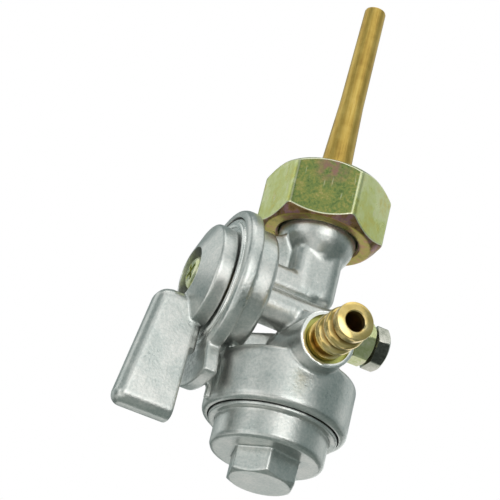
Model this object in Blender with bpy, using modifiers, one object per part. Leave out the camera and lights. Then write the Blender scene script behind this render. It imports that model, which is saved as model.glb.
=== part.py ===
"""Fuel tap for a small engine's tank.

A die-cast body hangs under the tank on a captive union nut. A quarter-turn face valve sits on its
-X side, a brass hose spigot points along -Y and a sediment bowl with a hexagon screws in from below.
Metres, +Z up. The origin is on the main axis, at the top face of the tank seal.
"""
import bpy
import bmesh
from math import asin, cos, degrees, pi, radians, sin, sqrt, tan
from mathutils import Matrix, Vector

# Clearances
SEAT_GAP = 0.0003          # between faces that rest on each other
SLIDE_GAP = 0.0003         # between a pin, pipe or stem and its bore

# Main axis: tank seal, neck and union nut
SEAL_THICKNESS = 0.0020
NECK_FLANGE_THICKNESS = 0.0022
NECK_STEP = 0.0009         # how far the flange stands over the neck, to hold the nut's shoulder
NUT_SHOULDER = 0.0022      # thickness of the inward shoulder at the nut's foot
NUT_HEIGHT = 0.0131
NUT_ACROSS_FLATS = 0.0230
NUT_WALL = 0.0023          # from the core of the M20 x 1.5 thread to a flat
NUT_MOUTH_CHAMFER = 0.0008
NUT_FOOT_CHAMFER = 0.0006
NUT_CORNER_SLOPE = 38.0    # degrees, chamfer of the hexagon's corners
NUT_TURN = 5.5             # degrees about Z, how far the nut has been tightened
SEAL_CLEARANCE = 0.0006    # of the tank seal in the nut's core
NECK_CLEARANCE = 0.0004    # of the neck's flange in the nut's core
COLLAR_HEIGHT = 0.0049     # flared collar between the column and the neck
COLLAR_STEP = 0.0006       # how much narrower the collar's shoulder is than the neck
COLLAR_SHOULDER_RISE = 0.0015
COLLAR_ROUND = 0.0011
COLUMN_WIDTH = 0.0106
COLUMN_CORNER = 0.0036

# Standpipe
PIPE_FOOT_RADIUS = 0.00330
PIPE_KINK_RADIUS = 0.00254
PIPE_TIP_RADIUS = 0.00227
PIPE_WALL = 0.00080
PIPE_RISE = 0.0497         # tip above the tank seat
PIPE_KINK_RISE = 0.0255    # height at which the steeper taper ends
PIPE_TAPER_RISE = 0.0080
PIPE_INSERT = 0.0090       # length held in the neck
PIPE_STOP = 0.0006         # step in the column's bore that the pipe's foot stands on
PIPE_LIP = 0.0003          # rounding of the tip
PIPE_LEAN = 1.0            # degrees towards +X, as it was pressed in

# Valve, measured from the main axis outwards along -X
VALVE_DROP = 0.02415       # valve axis below the tank seat
CHAMBER_BACK = 0.0110      # back face of the chamber from the main axis
CHAMBER_RADIUS = 0.0130
CHAMBER_ROUND = 0.0006
CHAMBER_FLOOR = 0.0016     # wall behind the gasket
CHAMBER_BORE_RADIUS = 0.0104
FLANGE_RADIUS = 0.0154
FLANGE_THICKNESS = 0.0032
FLANGE_ROUND = 0.0011
COVER_RADIUS = 0.0133
COVER_THICKNESS = 0.0009
COVER_SINK = 0.0002        # cover face below the flange's front
GASKET_THICKNESS = 0.0012
PORT_CIRCLE_RADIUS = 0.0056
PORT_RADIUS = 0.0016
INLET_ANGLE = 90.0         # degrees round the valve axis, 0 at +Y and 90 at +Z
OUTLET_ANGLE = 211.5
ROTOR_THICKNESS = 0.0022
ROTOR_GROOVE_DEPTH = 0.0010
STEM_RADIUS = 0.0041
STEM_TIP_RADIUS = 0.0034
STEM_FLATS = 0.0052        # across the two flats that carry the lever
STEM_TIP_LENGTH = 0.0013
STEM_SEAL_GAP = 0.0001     # round the stem seal, which fills the rest of its pocket
SPRING_INNER_RADIUS = 0.0076
SPRING_OUTER_RADIUS = 0.0096
SPRING_THICKNESS = 0.0003
SPRING_WAVE = 0.00012
SPRING_WAVES = 3
STOP_LUG_RADIUS = 0.0113
STOP_LUG_WIDTH = 0.0030
LEVER_TURN = 90.0          # degrees from the position shown to the far stop

# Lever
HUB_CLEARANCE = 0.0004     # hub behind which the flange and the position plate stay
HUB_RADIUS = 0.0108
HUB_SIDE = 0.0030          # length of the hub's cylindrical side
HUB_RISE = 0.0022          # further rise of its conical face
HUB_WEB = 0.0016
HUB_ROUND = 0.0005
POCKET_RADIUS = 0.0051
WING_THICKNESS = 0.0054
WING_SHIFT = 0.0005        # of the wing's middle towards +Y
WING_ROUND = 0.0018
WING_TOP_RADIUS = 0.0053   # radii are measured down from the valve axis
WING_TOP_OUT = 0.0297
WING_FOOT_RADIUS = 0.0311
WING_FOOT_OUT = 0.0331
WING_INNER = 0.0210
WING_CORNER = 0.0024       # rounding of the two outer corners
WING_INNER_CORNER = 0.0018
WING_TOP_SLOPE = 0.0010
TAB_TOP_RADIUS = 0.0098    # the tab reaches back towards the position plate
TAB_FOOT_RADIUS = 0.0157
TAB_SLOPE = 0.0005
TAB_CLEARANCE = 0.0002     # its end stays behind the hub's back face
SCREW_RADIUS = 0.0020
SCREW_HEAD_RADIUS = 0.0036
SCREW_HEAD_HEIGHT = 0.0022
SCREW_LENGTH = 0.0062
SCREW_CROSS_WIDTH = 0.0009
SCREW_CROSS_SPAN = 0.0040
SCREW_CROSS_DEPTH = 0.0010
SCREW_CROSS_TURN = 28.0    # degrees
SCREW_HEAD_ROUND = 0.0009
WASHER_RADIUS = 0.0037
WASHER_THICKNESS = 0.0006
WASHER_SPLIT = 0.0005

# Position plate on the flange, below the lever
PLATE_RADIUS = 0.0218
PLATE_THICKNESS = 0.0029
PLATE_SINK = 0.0002        # its face behind the flange's front
PLATE_START = 17.0         # degrees from straight down towards -Y
PLATE_END = 42.0           # degrees from straight down towards +Y

# Arms between the valve chamber, the column and the outlet
BLOCK_BELOW_PORT = 0.0046
BLOCK_ABOVE_PORT = 0.0014
BLOCK_ROUND = 0.0018
BLOCK_STEP = 0.0001        # the block stands back from the column's faces
ARM_RADIUS = 0.0039
BOLT_BOSS_RADIUS = 0.0047
BOLT_BOSS_START = 0.0045
BOLT_BOSS_END = 0.0083     # end face for the side bolt, from the main axis
NECK_WEB_THICKNESS = 0.0040
NECK_WEB_RISE = 0.0026     # its top above the collar's foot
RISER_RADIUS = 0.0060
RISER_SHIFT = 0.0015
FOOT_WEB_THICKNESS = 0.0036
FOOT_WEB_DROP = 0.0046     # its top below the valve axis, under the column
FOOT_WEB_SLOPE = 20.0      # degrees, how its top falls towards the chamber
INLET_DROP_SHIFT = 0.0043
INLET_DROP_RADIUS = 0.0014

# Bowl housing
ARM_ABOVE_HOUSING = 0.0102 # from the housing's top up to the arm's axis
HOUSING_HEIGHT = 0.0115
HOUSING_RADIUS = 0.0144
HOUSING_TOP_ROUND = 0.0016
HOUSING_FOOT_ROUND = 0.0010
HOUSING_WALL = 0.0028
HOUSING_CEILING = 0.0042
FLASH_WIDTH = 0.0014       # casting rib on the housing's parting line
FLASH_DEPTH = 0.0007
OUTLET_HEIGHT = 0.0136     # spigot axis above the housing's lower face
OUTLET_INNER_END = 0.0026  # blind end of the outlet gallery behind the main axis

# Hose spigot and its boss
BOSS_FACE = 0.0181         # from the main axis
BOSS_RIM_RADIUS = 0.0057
BOSS_ROOT_RADIUS = 0.0062
BOSS_RECESS_RADIUS = 0.0049
BOSS_RECESS_DEPTH = 0.0012
SPIGOT_PRESS_LENGTH = 0.0055
SPIGOT_PRESS_RADIUS = 0.0036
SPIGOT_REACH = 0.0116      # tip beyond the boss face
SPIGOT_BORE_RADIUS = 0.0022
SPIGOT_BASE_RADIUS = 0.0040
SPIGOT_GROOVE_RADIUS = 0.0032
SPIGOT_RIDGE_RADIUS = 0.0042
SPIGOT_TIP_RADIUS = 0.0038
SPIGOT_TIP_ROUND = 0.0004
SPIGOT_TIP_SLOPE = 0.0004
SPIGOT_RIDGE_COUNT = 2
SPIGOT_RIDGE_PITCH = 0.0037
SPIGOT_RIDGE_LENGTH = 0.0029
SPIGOT_RIDGE_SLOPE = 0.0007
SPIGOT_RIDGE_ROUND = 0.0006
SPIGOT_TIP_LENGTH = 0.0020
SPIGOT_TIP_GROOVE = 0.0007 # plain length behind the tip
SPIGOT_SHOULDER = 0.0010   # shoulder that stands in the boss's recess

# Sediment bowl and filter
BOWL_THREAD_LENGTH = 0.0045
BOWL_FLANGE_THICKNESS = 0.0008
BOWL_RADIUS = 0.0113
BOWL_DEPTH = 0.0065        # flat bottom below the housing's lower face
BOWL_BOTTOM_ROUND = 0.0009
BOWL_INNER_RADIUS = 0.0098
BOWL_FLOOR = 0.0015
BOWL_HEX_FLATS = 0.0125
BOWL_HEX_HEIGHT = 0.0052
BOWL_HEX_TURN = -15.0      # degrees about Z
BOWL_HEX_SLOPE = 30.0      # degrees, chamfer of its corners
BOWL_SEAL_SECTION = 0.0006
FILTER_RADIUS = 0.0046
FILTER_WALL = 0.0009
FILTER_HEIGHT = 0.0098
FILTER_RIM = 0.0015
FILTER_BASE = 0.0010
FILTER_SILL = 0.0006
FILTER_POST_WIDTH = 0.0016
FILTER_POSTS = 4
FILTER_SINK = 0.0014       # depth of its seat in the housing's ceiling
GAUZE_THICKNESS = 0.0003

# Side bolt
BOLT_RADIUS = 0.0025
BOLT_FLATS = 0.0080
BOLT_HEAD_HEIGHT = 0.0029
BOLT_LENGTH = 0.0077
BOLT_TIP_CHAMFER = 0.0006
BOLT_NUT_HEIGHT = 0.0040
BOLT_WASHER_RADIUS = 0.0046
BOLT_WASHER_THICKNESS = 0.0009
BOLT_CORNER_SLOPE = 30.0
CHAMFER_START = 0.955      # share of half the width across flats at which a corner chamfer starts

# Facets
LARGE_ROUND = 40
MEDIUM_ROUND = 26
SMALL_ROUND = 18
TINY_ROUND = 12
RING_SIDES = 8
MERGE = 0.00001
EDGE_EASE = 0.0003         # small rounding of turned and cast edges
EMBED = 0.0006             # overlap of shapes that are cast as one
CUT_MARGIN = 0.0010        # how far a cutter runs past the face that it opens

# Places worked out from the sizes above, along Z
NECK_TOP = -SEAL_THICKNESS - SEAT_GAP
NECK_FLANGE_FOOT = NECK_TOP - NECK_FLANGE_THICKNESS
NUT_FOOT = NECK_FLANGE_FOOT - SEAT_GAP - NUT_SHOULDER
COLLAR_TOP = NUT_FOOT
COLLAR_FOOT = COLLAR_TOP - COLLAR_HEIGHT
VALVE_Z = -VALVE_DROP
INLET_Z = VALVE_Z + PORT_CIRCLE_RADIUS * sin(radians(INLET_ANGLE))
INLET_Y = PORT_CIRCLE_RADIUS * cos(radians(INLET_ANGLE))
ARM_Z = VALVE_Z + PORT_CIRCLE_RADIUS * sin(radians(OUTLET_ANGLE))
ARM_Y = PORT_CIRCLE_RADIUS * cos(radians(OUTLET_ANGLE))
HOUSING_TOP = ARM_Z - ARM_ABOVE_HOUSING
HOUSING_FOOT = HOUSING_TOP - HOUSING_HEIGHT
OUTLET_Z = HOUSING_FOOT + OUTLET_HEIGHT
BLOCK_FOOT = INLET_Z - BLOCK_BELOW_PORT
BLOCK_TOP = INLET_Z + BLOCK_ABOVE_PORT
CEILING_Z = HOUSING_TOP - HOUSING_CEILING
BOWL_BOTTOM = HOUSING_FOOT - BOWL_DEPTH

# Places along the valve axis, outwards from the main axis
FLOOR_OUT = CHAMBER_BACK + CHAMBER_FLOOR
GASKET_OUT = FLOOR_OUT + SEAT_GAP
ROTOR_OUT = GASKET_OUT + GASKET_THICKNESS + SEAT_GAP
ROTOR_BACK = ROTOR_OUT + ROTOR_THICKNESS
SPRING_OUT = ROTOR_BACK + SEAT_GAP + SPRING_WAVE
COVER_OUT = SPRING_OUT + SPRING_THICKNESS + SPRING_WAVE + SEAT_GAP
COVER_FACE = COVER_OUT + COVER_THICKNESS
FLANGE_FACE = COVER_FACE + COVER_SINK
FLANGE_BACK = FLANGE_FACE - FLANGE_THICKNESS
HUB_BACK = FLANGE_FACE + HUB_CLEARANCE
WEB_FACE = HUB_BACK + HUB_WEB
HUB_EDGE = HUB_BACK + HUB_SIDE
HUB_TOP = HUB_EDGE + HUB_RISE
STEM_SHOULDER = HUB_BACK - SEAT_GAP
WASHER_OUT = WEB_FACE + SEAT_GAP
SCREW_SEAT = WASHER_OUT + WASHER_THICKNESS + SEAT_GAP

# Places along the side bolt, from the main axis towards +X
BOLT_WASHER_X = BOLT_BOSS_END + SEAT_GAP
BOLT_NUT_X = BOLT_WASHER_X + BOLT_WASHER_THICKNESS + SEAT_GAP
BOLT_HEAD_X = BOLT_NUT_X + BOLT_NUT_HEIGHT + SEAT_GAP

# Radii that follow from a fit
NUT_CORE_RADIUS = NUT_ACROSS_FLATS / 2 - NUT_WALL
SEAL_RADIUS = NUT_CORE_RADIUS - SEAL_CLEARANCE
NECK_FLANGE_RADIUS = NUT_CORE_RADIUS - NECK_CLEARANCE
NECK_RADIUS = NECK_FLANGE_RADIUS - NECK_STEP
COLLAR_SHOULDER_RADIUS = NECK_RADIUS - COLLAR_STEP
NUT_SHOULDER_RADIUS = NECK_RADIUS + SLIDE_GAP
PIPE_SOCKET_RADIUS = PIPE_FOOT_RADIUS + SLIDE_GAP
GASKET_RADIUS = CHAMBER_BORE_RADIUS - SLIDE_GAP
ROTOR_RADIUS = CHAMBER_BORE_RADIUS - SLIDE_GAP
COVER_SEAT_RADIUS = COVER_RADIUS + SLIDE_GAP
BOWL_THREAD_RADIUS = HOUSING_RADIUS - HOUSING_WALL - SLIDE_GAP
BOWL_SEAL_RADIUS = BOWL_THREAD_RADIUS + SLIDE_GAP + BOWL_SEAL_SECTION
BOWL_SEAT_RADIUS = BOWL_SEAL_RADIUS + BOWL_SEAL_SECTION + SLIDE_GAP
BOWL_FLANGE_RADIUS = BOWL_SEAT_RADIUS - SLIDE_GAP
BOLT_BORE_RADIUS = BOLT_RADIUS + SLIDE_GAP
SCREW_BORE_RADIUS = SCREW_RADIUS + SLIDE_GAP

# Turned frames: local +Z runs out along the named direction
ALONG_X = Matrix.Rotation(pi / 2, 4, "Y")
ALONG_MINUS_X = Matrix.Rotation(-pi / 2, 4, "Y")
ALONG_MINUS_Y = Matrix.Rotation(pi / 2, 4, "X")
VALVE_FRAME = Matrix.Translation((0.0, 0.0, VALVE_Z)) @ ALONG_MINUS_X
ARM_FRAME = Matrix.Translation((0.0, ARM_Y, ARM_Z)) @ ALONG_X
SPIGOT_FRAME = Matrix.Translation((0.0, 0.0, OUTLET_Z)) @ ALONG_MINUS_Y
MAIN_FRAME = Matrix.Identity(4)


def clear_scene():
    for thing in list(bpy.data.objects):
        bpy.data.objects.remove(thing, do_unlink=True)


def new_collection(name):
    group = bpy.data.collections.new(name)
    bpy.context.scene.collection.children.link(group)
    return group


def metal(name, colour, roughness, metallic=1.0):
    material = bpy.data.materials.new(name)
    material.use_nodes = True
    shader = material.node_tree.nodes["Principled BSDF"]
    shader.inputs["Base Color"].default_value = (*colour, 1.0)
    shader.inputs["Roughness"].default_value = roughness
    shader.inputs["Metallic"].default_value = metallic
    material.diffuse_color = (*colour, 1.0)
    return material


clear_scene()
TAP = new_collection("fuel_tap")
CUTTERS = new_collection("cutters")

CAST_ALLOY = metal("cast_alloy", (0.53, 0.55, 0.54), 0.45)
YELLOW_ZINC = metal("yellow_zinc", (0.62, 0.60, 0.30), 0.35)
BRIGHT_ZINC = metal("bright_zinc", (0.60, 0.60, 0.55), 0.35)
BRASS = metal("brass", (0.68, 0.50, 0.20), 0.35)
SPRING_STEEL = metal("spring_steel", (0.45, 0.46, 0.48), 0.30)
BLACK_RUBBER = metal("black_rubber", (0.02, 0.02, 0.02), 0.80, 0.0)
NYLON = metal("nylon", (0.75, 0.74, 0.68), 0.60, 0.0)


def finish_piece(piece, material, angle=35.0):
    """Applies a piece's modifiers, then gives it its material and smooth shading up to an edge angle."""
    bpy.context.view_layer.update()
    graph = bpy.context.evaluated_depsgraph_get()
    finished = bpy.data.meshes.new_from_object(piece.evaluated_get(graph))
    finished.name = piece.name
    piece.modifiers.clear()
    piece.data = finished
    piece.data.materials.clear()
    piece.data.materials.append(material)
    for face in piece.data.polygons:
        face.material_index = 0
    piece.data.shade_smooth()
    piece.data.set_sharp_from_angle(angle=radians(angle))


def as_cutter(piece):
    piece.hide_render = True
    piece.display_type = "WIRE"


def link_mesh(name, mesh, frame, cutter):
    piece = bpy.data.objects.new(name, mesh)
    piece.matrix_world = frame
    if cutter:
        CUTTERS.objects.link(piece)
        as_cutter(piece)
    else:
        TAP.objects.link(piece)
    return piece


def round_corners(corners, steps=3):
    """Outline through (across, along, rounding) corners, each rounding made as an arc."""
    points = []
    count = len(corners)
    for index, (across, along, rounding) in enumerate(corners):
        here = Vector((across, along))
        if rounding <= 0.0:
            points.append(here)
            continue
        before = Vector(corners[index - 1][:2])
        after = Vector(corners[(index + 1) % count][:2])
        back = (before - here).normalized()
        ahead = (after - here).normalized()
        half = back.angle(ahead) / 2
        centre = here + (back + ahead).normalized() * (rounding / sin(half))
        start = here + back * (rounding / tan(half)) - centre
        end = here + ahead * (rounding / tan(half)) - centre
        sweep = start.angle_signed(end)
        for step in range(steps + 1):
            share = sweep * step / steps
            points.append(centre + Matrix.Rotation(-share, 2) @ start)
    return [(point.x, point.y) for point in points]


def turned(name, corners, frame=MAIN_FRAME, sides=LARGE_ROUND, closed=False, cutter=False, steps=2):
    """Solid of revolution about the frame's Z. Corners run down the outer side, top to bottom."""
    outline = round_corners(corners, steps)
    mesh = bpy.data.meshes.new(name)
    shape = bmesh.new()
    points = [shape.verts.new((radius, 0.0, height)) for radius, height in outline]
    for first, second in zip(points, points[1:]):
        shape.edges.new((first, second))
    if closed:
        shape.edges.new((points[-1], points[0]))
    shape.to_mesh(mesh)
    shape.free()
    piece = link_mesh(name, mesh, frame, cutter)
    screw = piece.modifiers.new("turn", "SCREW")
    screw.steps = sides
    screw.render_steps = sides
    screw.use_merge_vertices = True
    screw.merge_threshold = MERGE
    return piece


def rod(name, radius, start, end, frame=MAIN_FRAME, at=(0.0, 0.0), sides=MEDIUM_ROUND, cutter=True,
        end_radius=None):
    """Cylinder or cone along the frame's Z from start to end, centred on at."""
    mesh = bpy.data.meshes.new(name)
    shape = bmesh.new()
    far_radius = radius if end_radius is None else end_radius
    length = end - start
    bmesh.ops.create_cone(
        shape, cap_ends=True, segments=sides, radius1=radius, radius2=far_radius, depth=length)
    bmesh.ops.translate(shape, verts=shape.verts, vec=(at[0], at[1], (start + end) / 2))
    shape.to_mesh(mesh)
    shape.free()
    return link_mesh(name, mesh, frame, cutter)


def box(name, low, high, frame=MAIN_FRAME, rounding=0.0, cutter=True, segments=3):
    """Box between two corners, with all its edges rounded where a rounding is given."""
    mesh = bpy.data.meshes.new(name)
    shape = bmesh.new()
    bmesh.ops.create_cube(shape, size=1.0)
    size = [b - a for a, b in zip(low, high)]
    middle = [(a + b) / 2 for a, b in zip(low, high)]
    bmesh.ops.scale(shape, verts=shape.verts, vec=size)
    bmesh.ops.translate(shape, verts=shape.verts, vec=middle)
    shape.to_mesh(mesh)
    shape.free()
    piece = link_mesh(name, mesh, frame, cutter)
    if rounding > 0.0:
        bevel = piece.modifiers.new("round", "BEVEL")
        bevel.width = rounding
        bevel.segments = segments
    return piece


def plate(name, outline, thickness, frame, cutter=True):
    """Flat outline in the frame's XY plane, extruded evenly to both sides and made a mesh."""
    curve = bpy.data.curves.new(name, "CURVE")
    curve.dimensions = "2D"
    curve.fill_mode = "BOTH"
    curve.extrude = thickness / 2
    spline = curve.splines.new("POLY")
    spline.points.add(len(outline) - 1)
    for point, (across, along) in zip(spline.points, outline):
        point.co = (across, along, 0.0, 1.0)
    spline.use_cyclic_u = True
    drawn = bpy.data.objects.new(name + "_outline", curve)
    drawn.matrix_world = frame
    CUTTERS.objects.link(drawn)
    bpy.context.view_layer.update()
    graph = bpy.context.evaluated_depsgraph_get()
    mesh = bpy.data.meshes.new_from_object(drawn.evaluated_get(graph))
    bpy.data.objects.remove(drawn, do_unlink=True)
    mesh.name = name
    shape = bmesh.new()
    shape.from_mesh(mesh)
    bmesh.ops.remove_doubles(shape, verts=shape.verts, dist=MERGE)
    bmesh.ops.recalc_face_normals(shape, faces=shape.faces)
    shape.to_mesh(mesh)
    shape.free()
    return link_mesh(name, mesh, frame, cutter)


def hexagon(name, flats, start, end, frame, turn=0.0, cutter=False):
    """Hexagonal prism along the frame's Z; turn is in degrees about that axis."""
    corner_radius = flats / sqrt(3)
    turned_frame = frame @ Matrix.Rotation(radians(turn), 4, "Z")
    return rod(name, corner_radius, start, end, turned_frame, sides=6, cutter=cutter)


def combine(piece, other, operation):
    joint = piece.modifiers.new(operation.lower(), "BOOLEAN")
    joint.operation = operation
    joint.solver = "EXACT"
    joint.object = other
    return joint


def join_all(piece, others):
    for other in others:
        combine(piece, other, "UNION")


def cut_all(piece, others):
    for other in others:
        combine(piece, other, "DIFFERENCE")


def join_group(piece, name, others, operation):
    """Unites a piece with several shapes, or cuts them all out of it, in one exact step."""
    group = bpy.data.collections.new(name)
    CUTTERS.children.link(group)
    for other in others:
        CUTTERS.objects.unlink(other)
        group.objects.link(other)
    joint = piece.modifiers.new(name, "BOOLEAN")
    joint.operation = operation
    joint.solver = "EXACT"
    joint.operand_type = "COLLECTION"
    joint.collection = group


def corner_trim(name, flats, start, end, slope, frame, both=True):
    """Turned blank that, intersected with a hexagon, leaves its chamfered corners."""
    corner_radius = flats / sqrt(3) + EMBED
    edge_radius = flats / 2 * CHAMFER_START
    drop = (corner_radius - edge_radius) * tan(radians(slope))
    profile = [(0.0, end, 0.0), (edge_radius, end, 0.0), (corner_radius, end - drop, 0.0)]
    if both:
        profile += [(corner_radius, start + drop, 0.0), (edge_radius, start, 0.0)]
    else:
        profile.append((corner_radius, start, 0.0))
    profile.append((0.0, start, 0.0))
    return turned(name, profile, frame, LARGE_ROUND, cutter=True)


def arc_points(radius, start, end, steps):
    """Points of an arc; angles in degrees from the outline's first axis."""
    angles = [radians(start + (end - start) * step / steps) for step in range(steps + 1)]
    return [(radius * cos(angle), radius * sin(angle)) for angle in angles]


def two_flats(radius, half_flats):
    """Outline of a round with two flats on it, each half_flats from the middle."""
    edge = degrees(asin(half_flats / radius))
    return arc_points(radius, -edge, edge, 5) + arc_points(radius, 180.0 - edge, 180.0 + edge, 5)


def build_neck():
    """Neck flange, plain neck and the collar that flares out of the column."""
    column_round = COLUMN_WIDTH / 2
    profile = [
        (0.0, NECK_TOP, 0.0),
        (NECK_FLANGE_RADIUS, NECK_TOP, EDGE_EASE),
        (NECK_FLANGE_RADIUS, NECK_FLANGE_FOOT, 0.0),
        (NECK_RADIUS, NECK_FLANGE_FOOT, 0.0),
        (NECK_RADIUS, COLLAR_TOP, 0.0),
        (COLLAR_SHOULDER_RADIUS, COLLAR_FOOT + COLLAR_SHOULDER_RISE, COLLAR_ROUND),
        (column_round, COLLAR_FOOT, 0.0),
        (column_round - EMBED, COLLAR_FOOT - EMBED, 0.0),
        (0.0, COLLAR_FOOT - EMBED, 0.0),
    ]
    return turned("neck", profile, cutter=True)


def build_column():
    """Rounded square column from the collar down to the inlet block."""
    half = COLUMN_WIDTH / 2
    corner = COLUMN_CORNER
    corners = [(half, half), (half, -half), (-half, -half), (-half, half)]
    outline = round_corners([(across, along, corner) for across, along in corners])
    foot = BLOCK_FOOT
    height = COLLAR_FOOT + EMBED - foot
    column = plate("column", outline, height, Matrix.Translation((0.0, 0.0, foot + height / 2)))
    bevel = column.modifiers.new("round", "BEVEL")
    bevel.width = BLOCK_ROUND
    bevel.segments = 3
    bevel.limit_method = "ANGLE"
    bevel.angle_limit = radians(60)
    return column


def build_inlet_block():
    """Block that carries fuel from the column into the valve chamber."""
    half = COLUMN_WIDTH / 2 - BLOCK_STEP
    low = (-CHAMBER_BACK - EMBED, -half, BLOCK_FOOT + BLOCK_STEP)
    high = (COLUMN_WIDTH / 2 - COLUMN_CORNER, half, BLOCK_TOP)
    return box("inlet_block", low, high, rounding=BLOCK_ROUND)


def build_neck_web():
    """Web in the parting plane, between the chamber's shoulder and the collar."""
    top = COLLAR_FOOT + NECK_WEB_RISE
    outline = [
        (-CHAMBER_BACK - EMBED, INLET_Z),
        (0.0, INLET_Z),
        (0.0, top),
        (-COLLAR_SHOULDER_RADIUS, top),
        (-CHAMBER_BACK - EMBED, VALVE_Z + CHAMBER_RADIUS - EMBED),
    ]
    return plate("neck_web", outline, NECK_WEB_THICKNESS, ALONG_MINUS_Y)


def build_foot_web():
    """Web in the parting plane, between the chamber and the housing."""
    top = VALVE_Z - FOOT_WEB_DROP
    foot = HOUSING_TOP - HOUSING_TOP_ROUND - EMBED
    reach = CHAMBER_BACK + EMBED
    outline = [
        (-reach, foot),
        (0.0, foot),
        (0.0, top),
        (-reach, top - reach * tan(radians(FOOT_WEB_SLOPE))),
    ]
    return plate("foot_web", outline, FOOT_WEB_THICKNESS, ALONG_MINUS_Y)


def build_flange():
    """Valve chamber and its flange, turned about the valve axis."""
    profile = [
        (0.0, FLANGE_FACE, 0.0),
        (FLANGE_RADIUS, FLANGE_FACE, FLANGE_ROUND),
        (FLANGE_RADIUS, FLANGE_BACK, EDGE_EASE),
        (CHAMBER_RADIUS, FLANGE_BACK, 0.0),
        (CHAMBER_RADIUS, CHAMBER_BACK, CHAMBER_ROUND),
        (0.0, CHAMBER_BACK, 0.0),
    ]
    return turned("valve_chamber", profile, VALVE_FRAME, cutter=True)


def build_position_plate():
    """Sector plate below the flange, over which the lever's tab swings."""
    inner = FLANGE_RADIUS - FLANGE_ROUND - EMBED
    inside = arc_points(inner, 180.0 + PLATE_START, 180.0 - PLATE_END, 8)
    outside = arc_points(PLATE_RADIUS, 180.0 - PLATE_END, 180.0 + PLATE_START, 10)
    middle = FLANGE_FACE - PLATE_SINK - PLATE_THICKNESS / 2
    frame = VALVE_FRAME @ Matrix.Translation((0.0, 0.0, middle))
    return plate("position_plate", inside + outside, PLATE_THICKNESS, frame)


def build_housing():
    """Round housing that the sediment bowl screws into."""
    profile = [
        (0.0, HOUSING_TOP, 0.0),
        (HOUSING_RADIUS, HOUSING_TOP, HOUSING_TOP_ROUND),
        (HOUSING_RADIUS, HOUSING_FOOT, HOUSING_FOOT_ROUND),
        (0.0, HOUSING_FOOT, 0.0),
    ]
    return turned("body", profile)


def build_flash_rib():
    """Low casting rib down the housing's side, on the parting plane."""
    low = (-HOUSING_RADIUS - FLASH_DEPTH, -FLASH_WIDTH / 2, HOUSING_FOOT + HOUSING_FOOT_ROUND)
    high = (-HOUSING_RADIUS + EMBED, FLASH_WIDTH / 2, HOUSING_TOP - HOUSING_TOP_ROUND)
    return box("flash_rib", low, high)


def build_bowl_cavity():
    """Cavity of the housing: seal seat, thread core and the filter's seat in the ceiling."""
    filter_seat = CEILING_Z + FILTER_SINK + SEAT_GAP
    seal_seat = HOUSING_FOOT + BOWL_SEAL_SECTION * 2 + SEAT_GAP * 2
    profile = [
        (0.0, filter_seat, 0.0),
        (FILTER_RADIUS + SLIDE_GAP, filter_seat, 0.0),
        (FILTER_RADIUS + SLIDE_GAP, CEILING_Z, 0.0),
        (BOWL_THREAD_RADIUS + SLIDE_GAP, CEILING_Z, 0.0),
        (BOWL_THREAD_RADIUS + SLIDE_GAP, seal_seat, 0.0),
        (BOWL_SEAT_RADIUS, seal_seat, 0.0),
        (BOWL_SEAT_RADIUS, HOUSING_FOOT - CUT_MARGIN, 0.0),
        (0.0, HOUSING_FOOT - CUT_MARGIN, 0.0),
    ]
    return turned("bowl_cavity", profile, cutter=True)


def build_chamber_cavity():
    """Cavity of the valve chamber and the wider seat of its cover."""
    cover_seat = COVER_OUT - SEAT_GAP
    profile = [
        (0.0, FLANGE_FACE + CUT_MARGIN, 0.0),
        (COVER_SEAT_RADIUS, FLANGE_FACE + CUT_MARGIN, 0.0),
        (COVER_SEAT_RADIUS, cover_seat, 0.0),
        (CHAMBER_BORE_RADIUS, cover_seat, 0.0),
        (CHAMBER_BORE_RADIUS, FLOOR_OUT, 0.0),
        (0.0, FLOOR_OUT, 0.0),
    ]
    return turned("chamber_cavity", profile, VALVE_FRAME, cutter=True)


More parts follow.
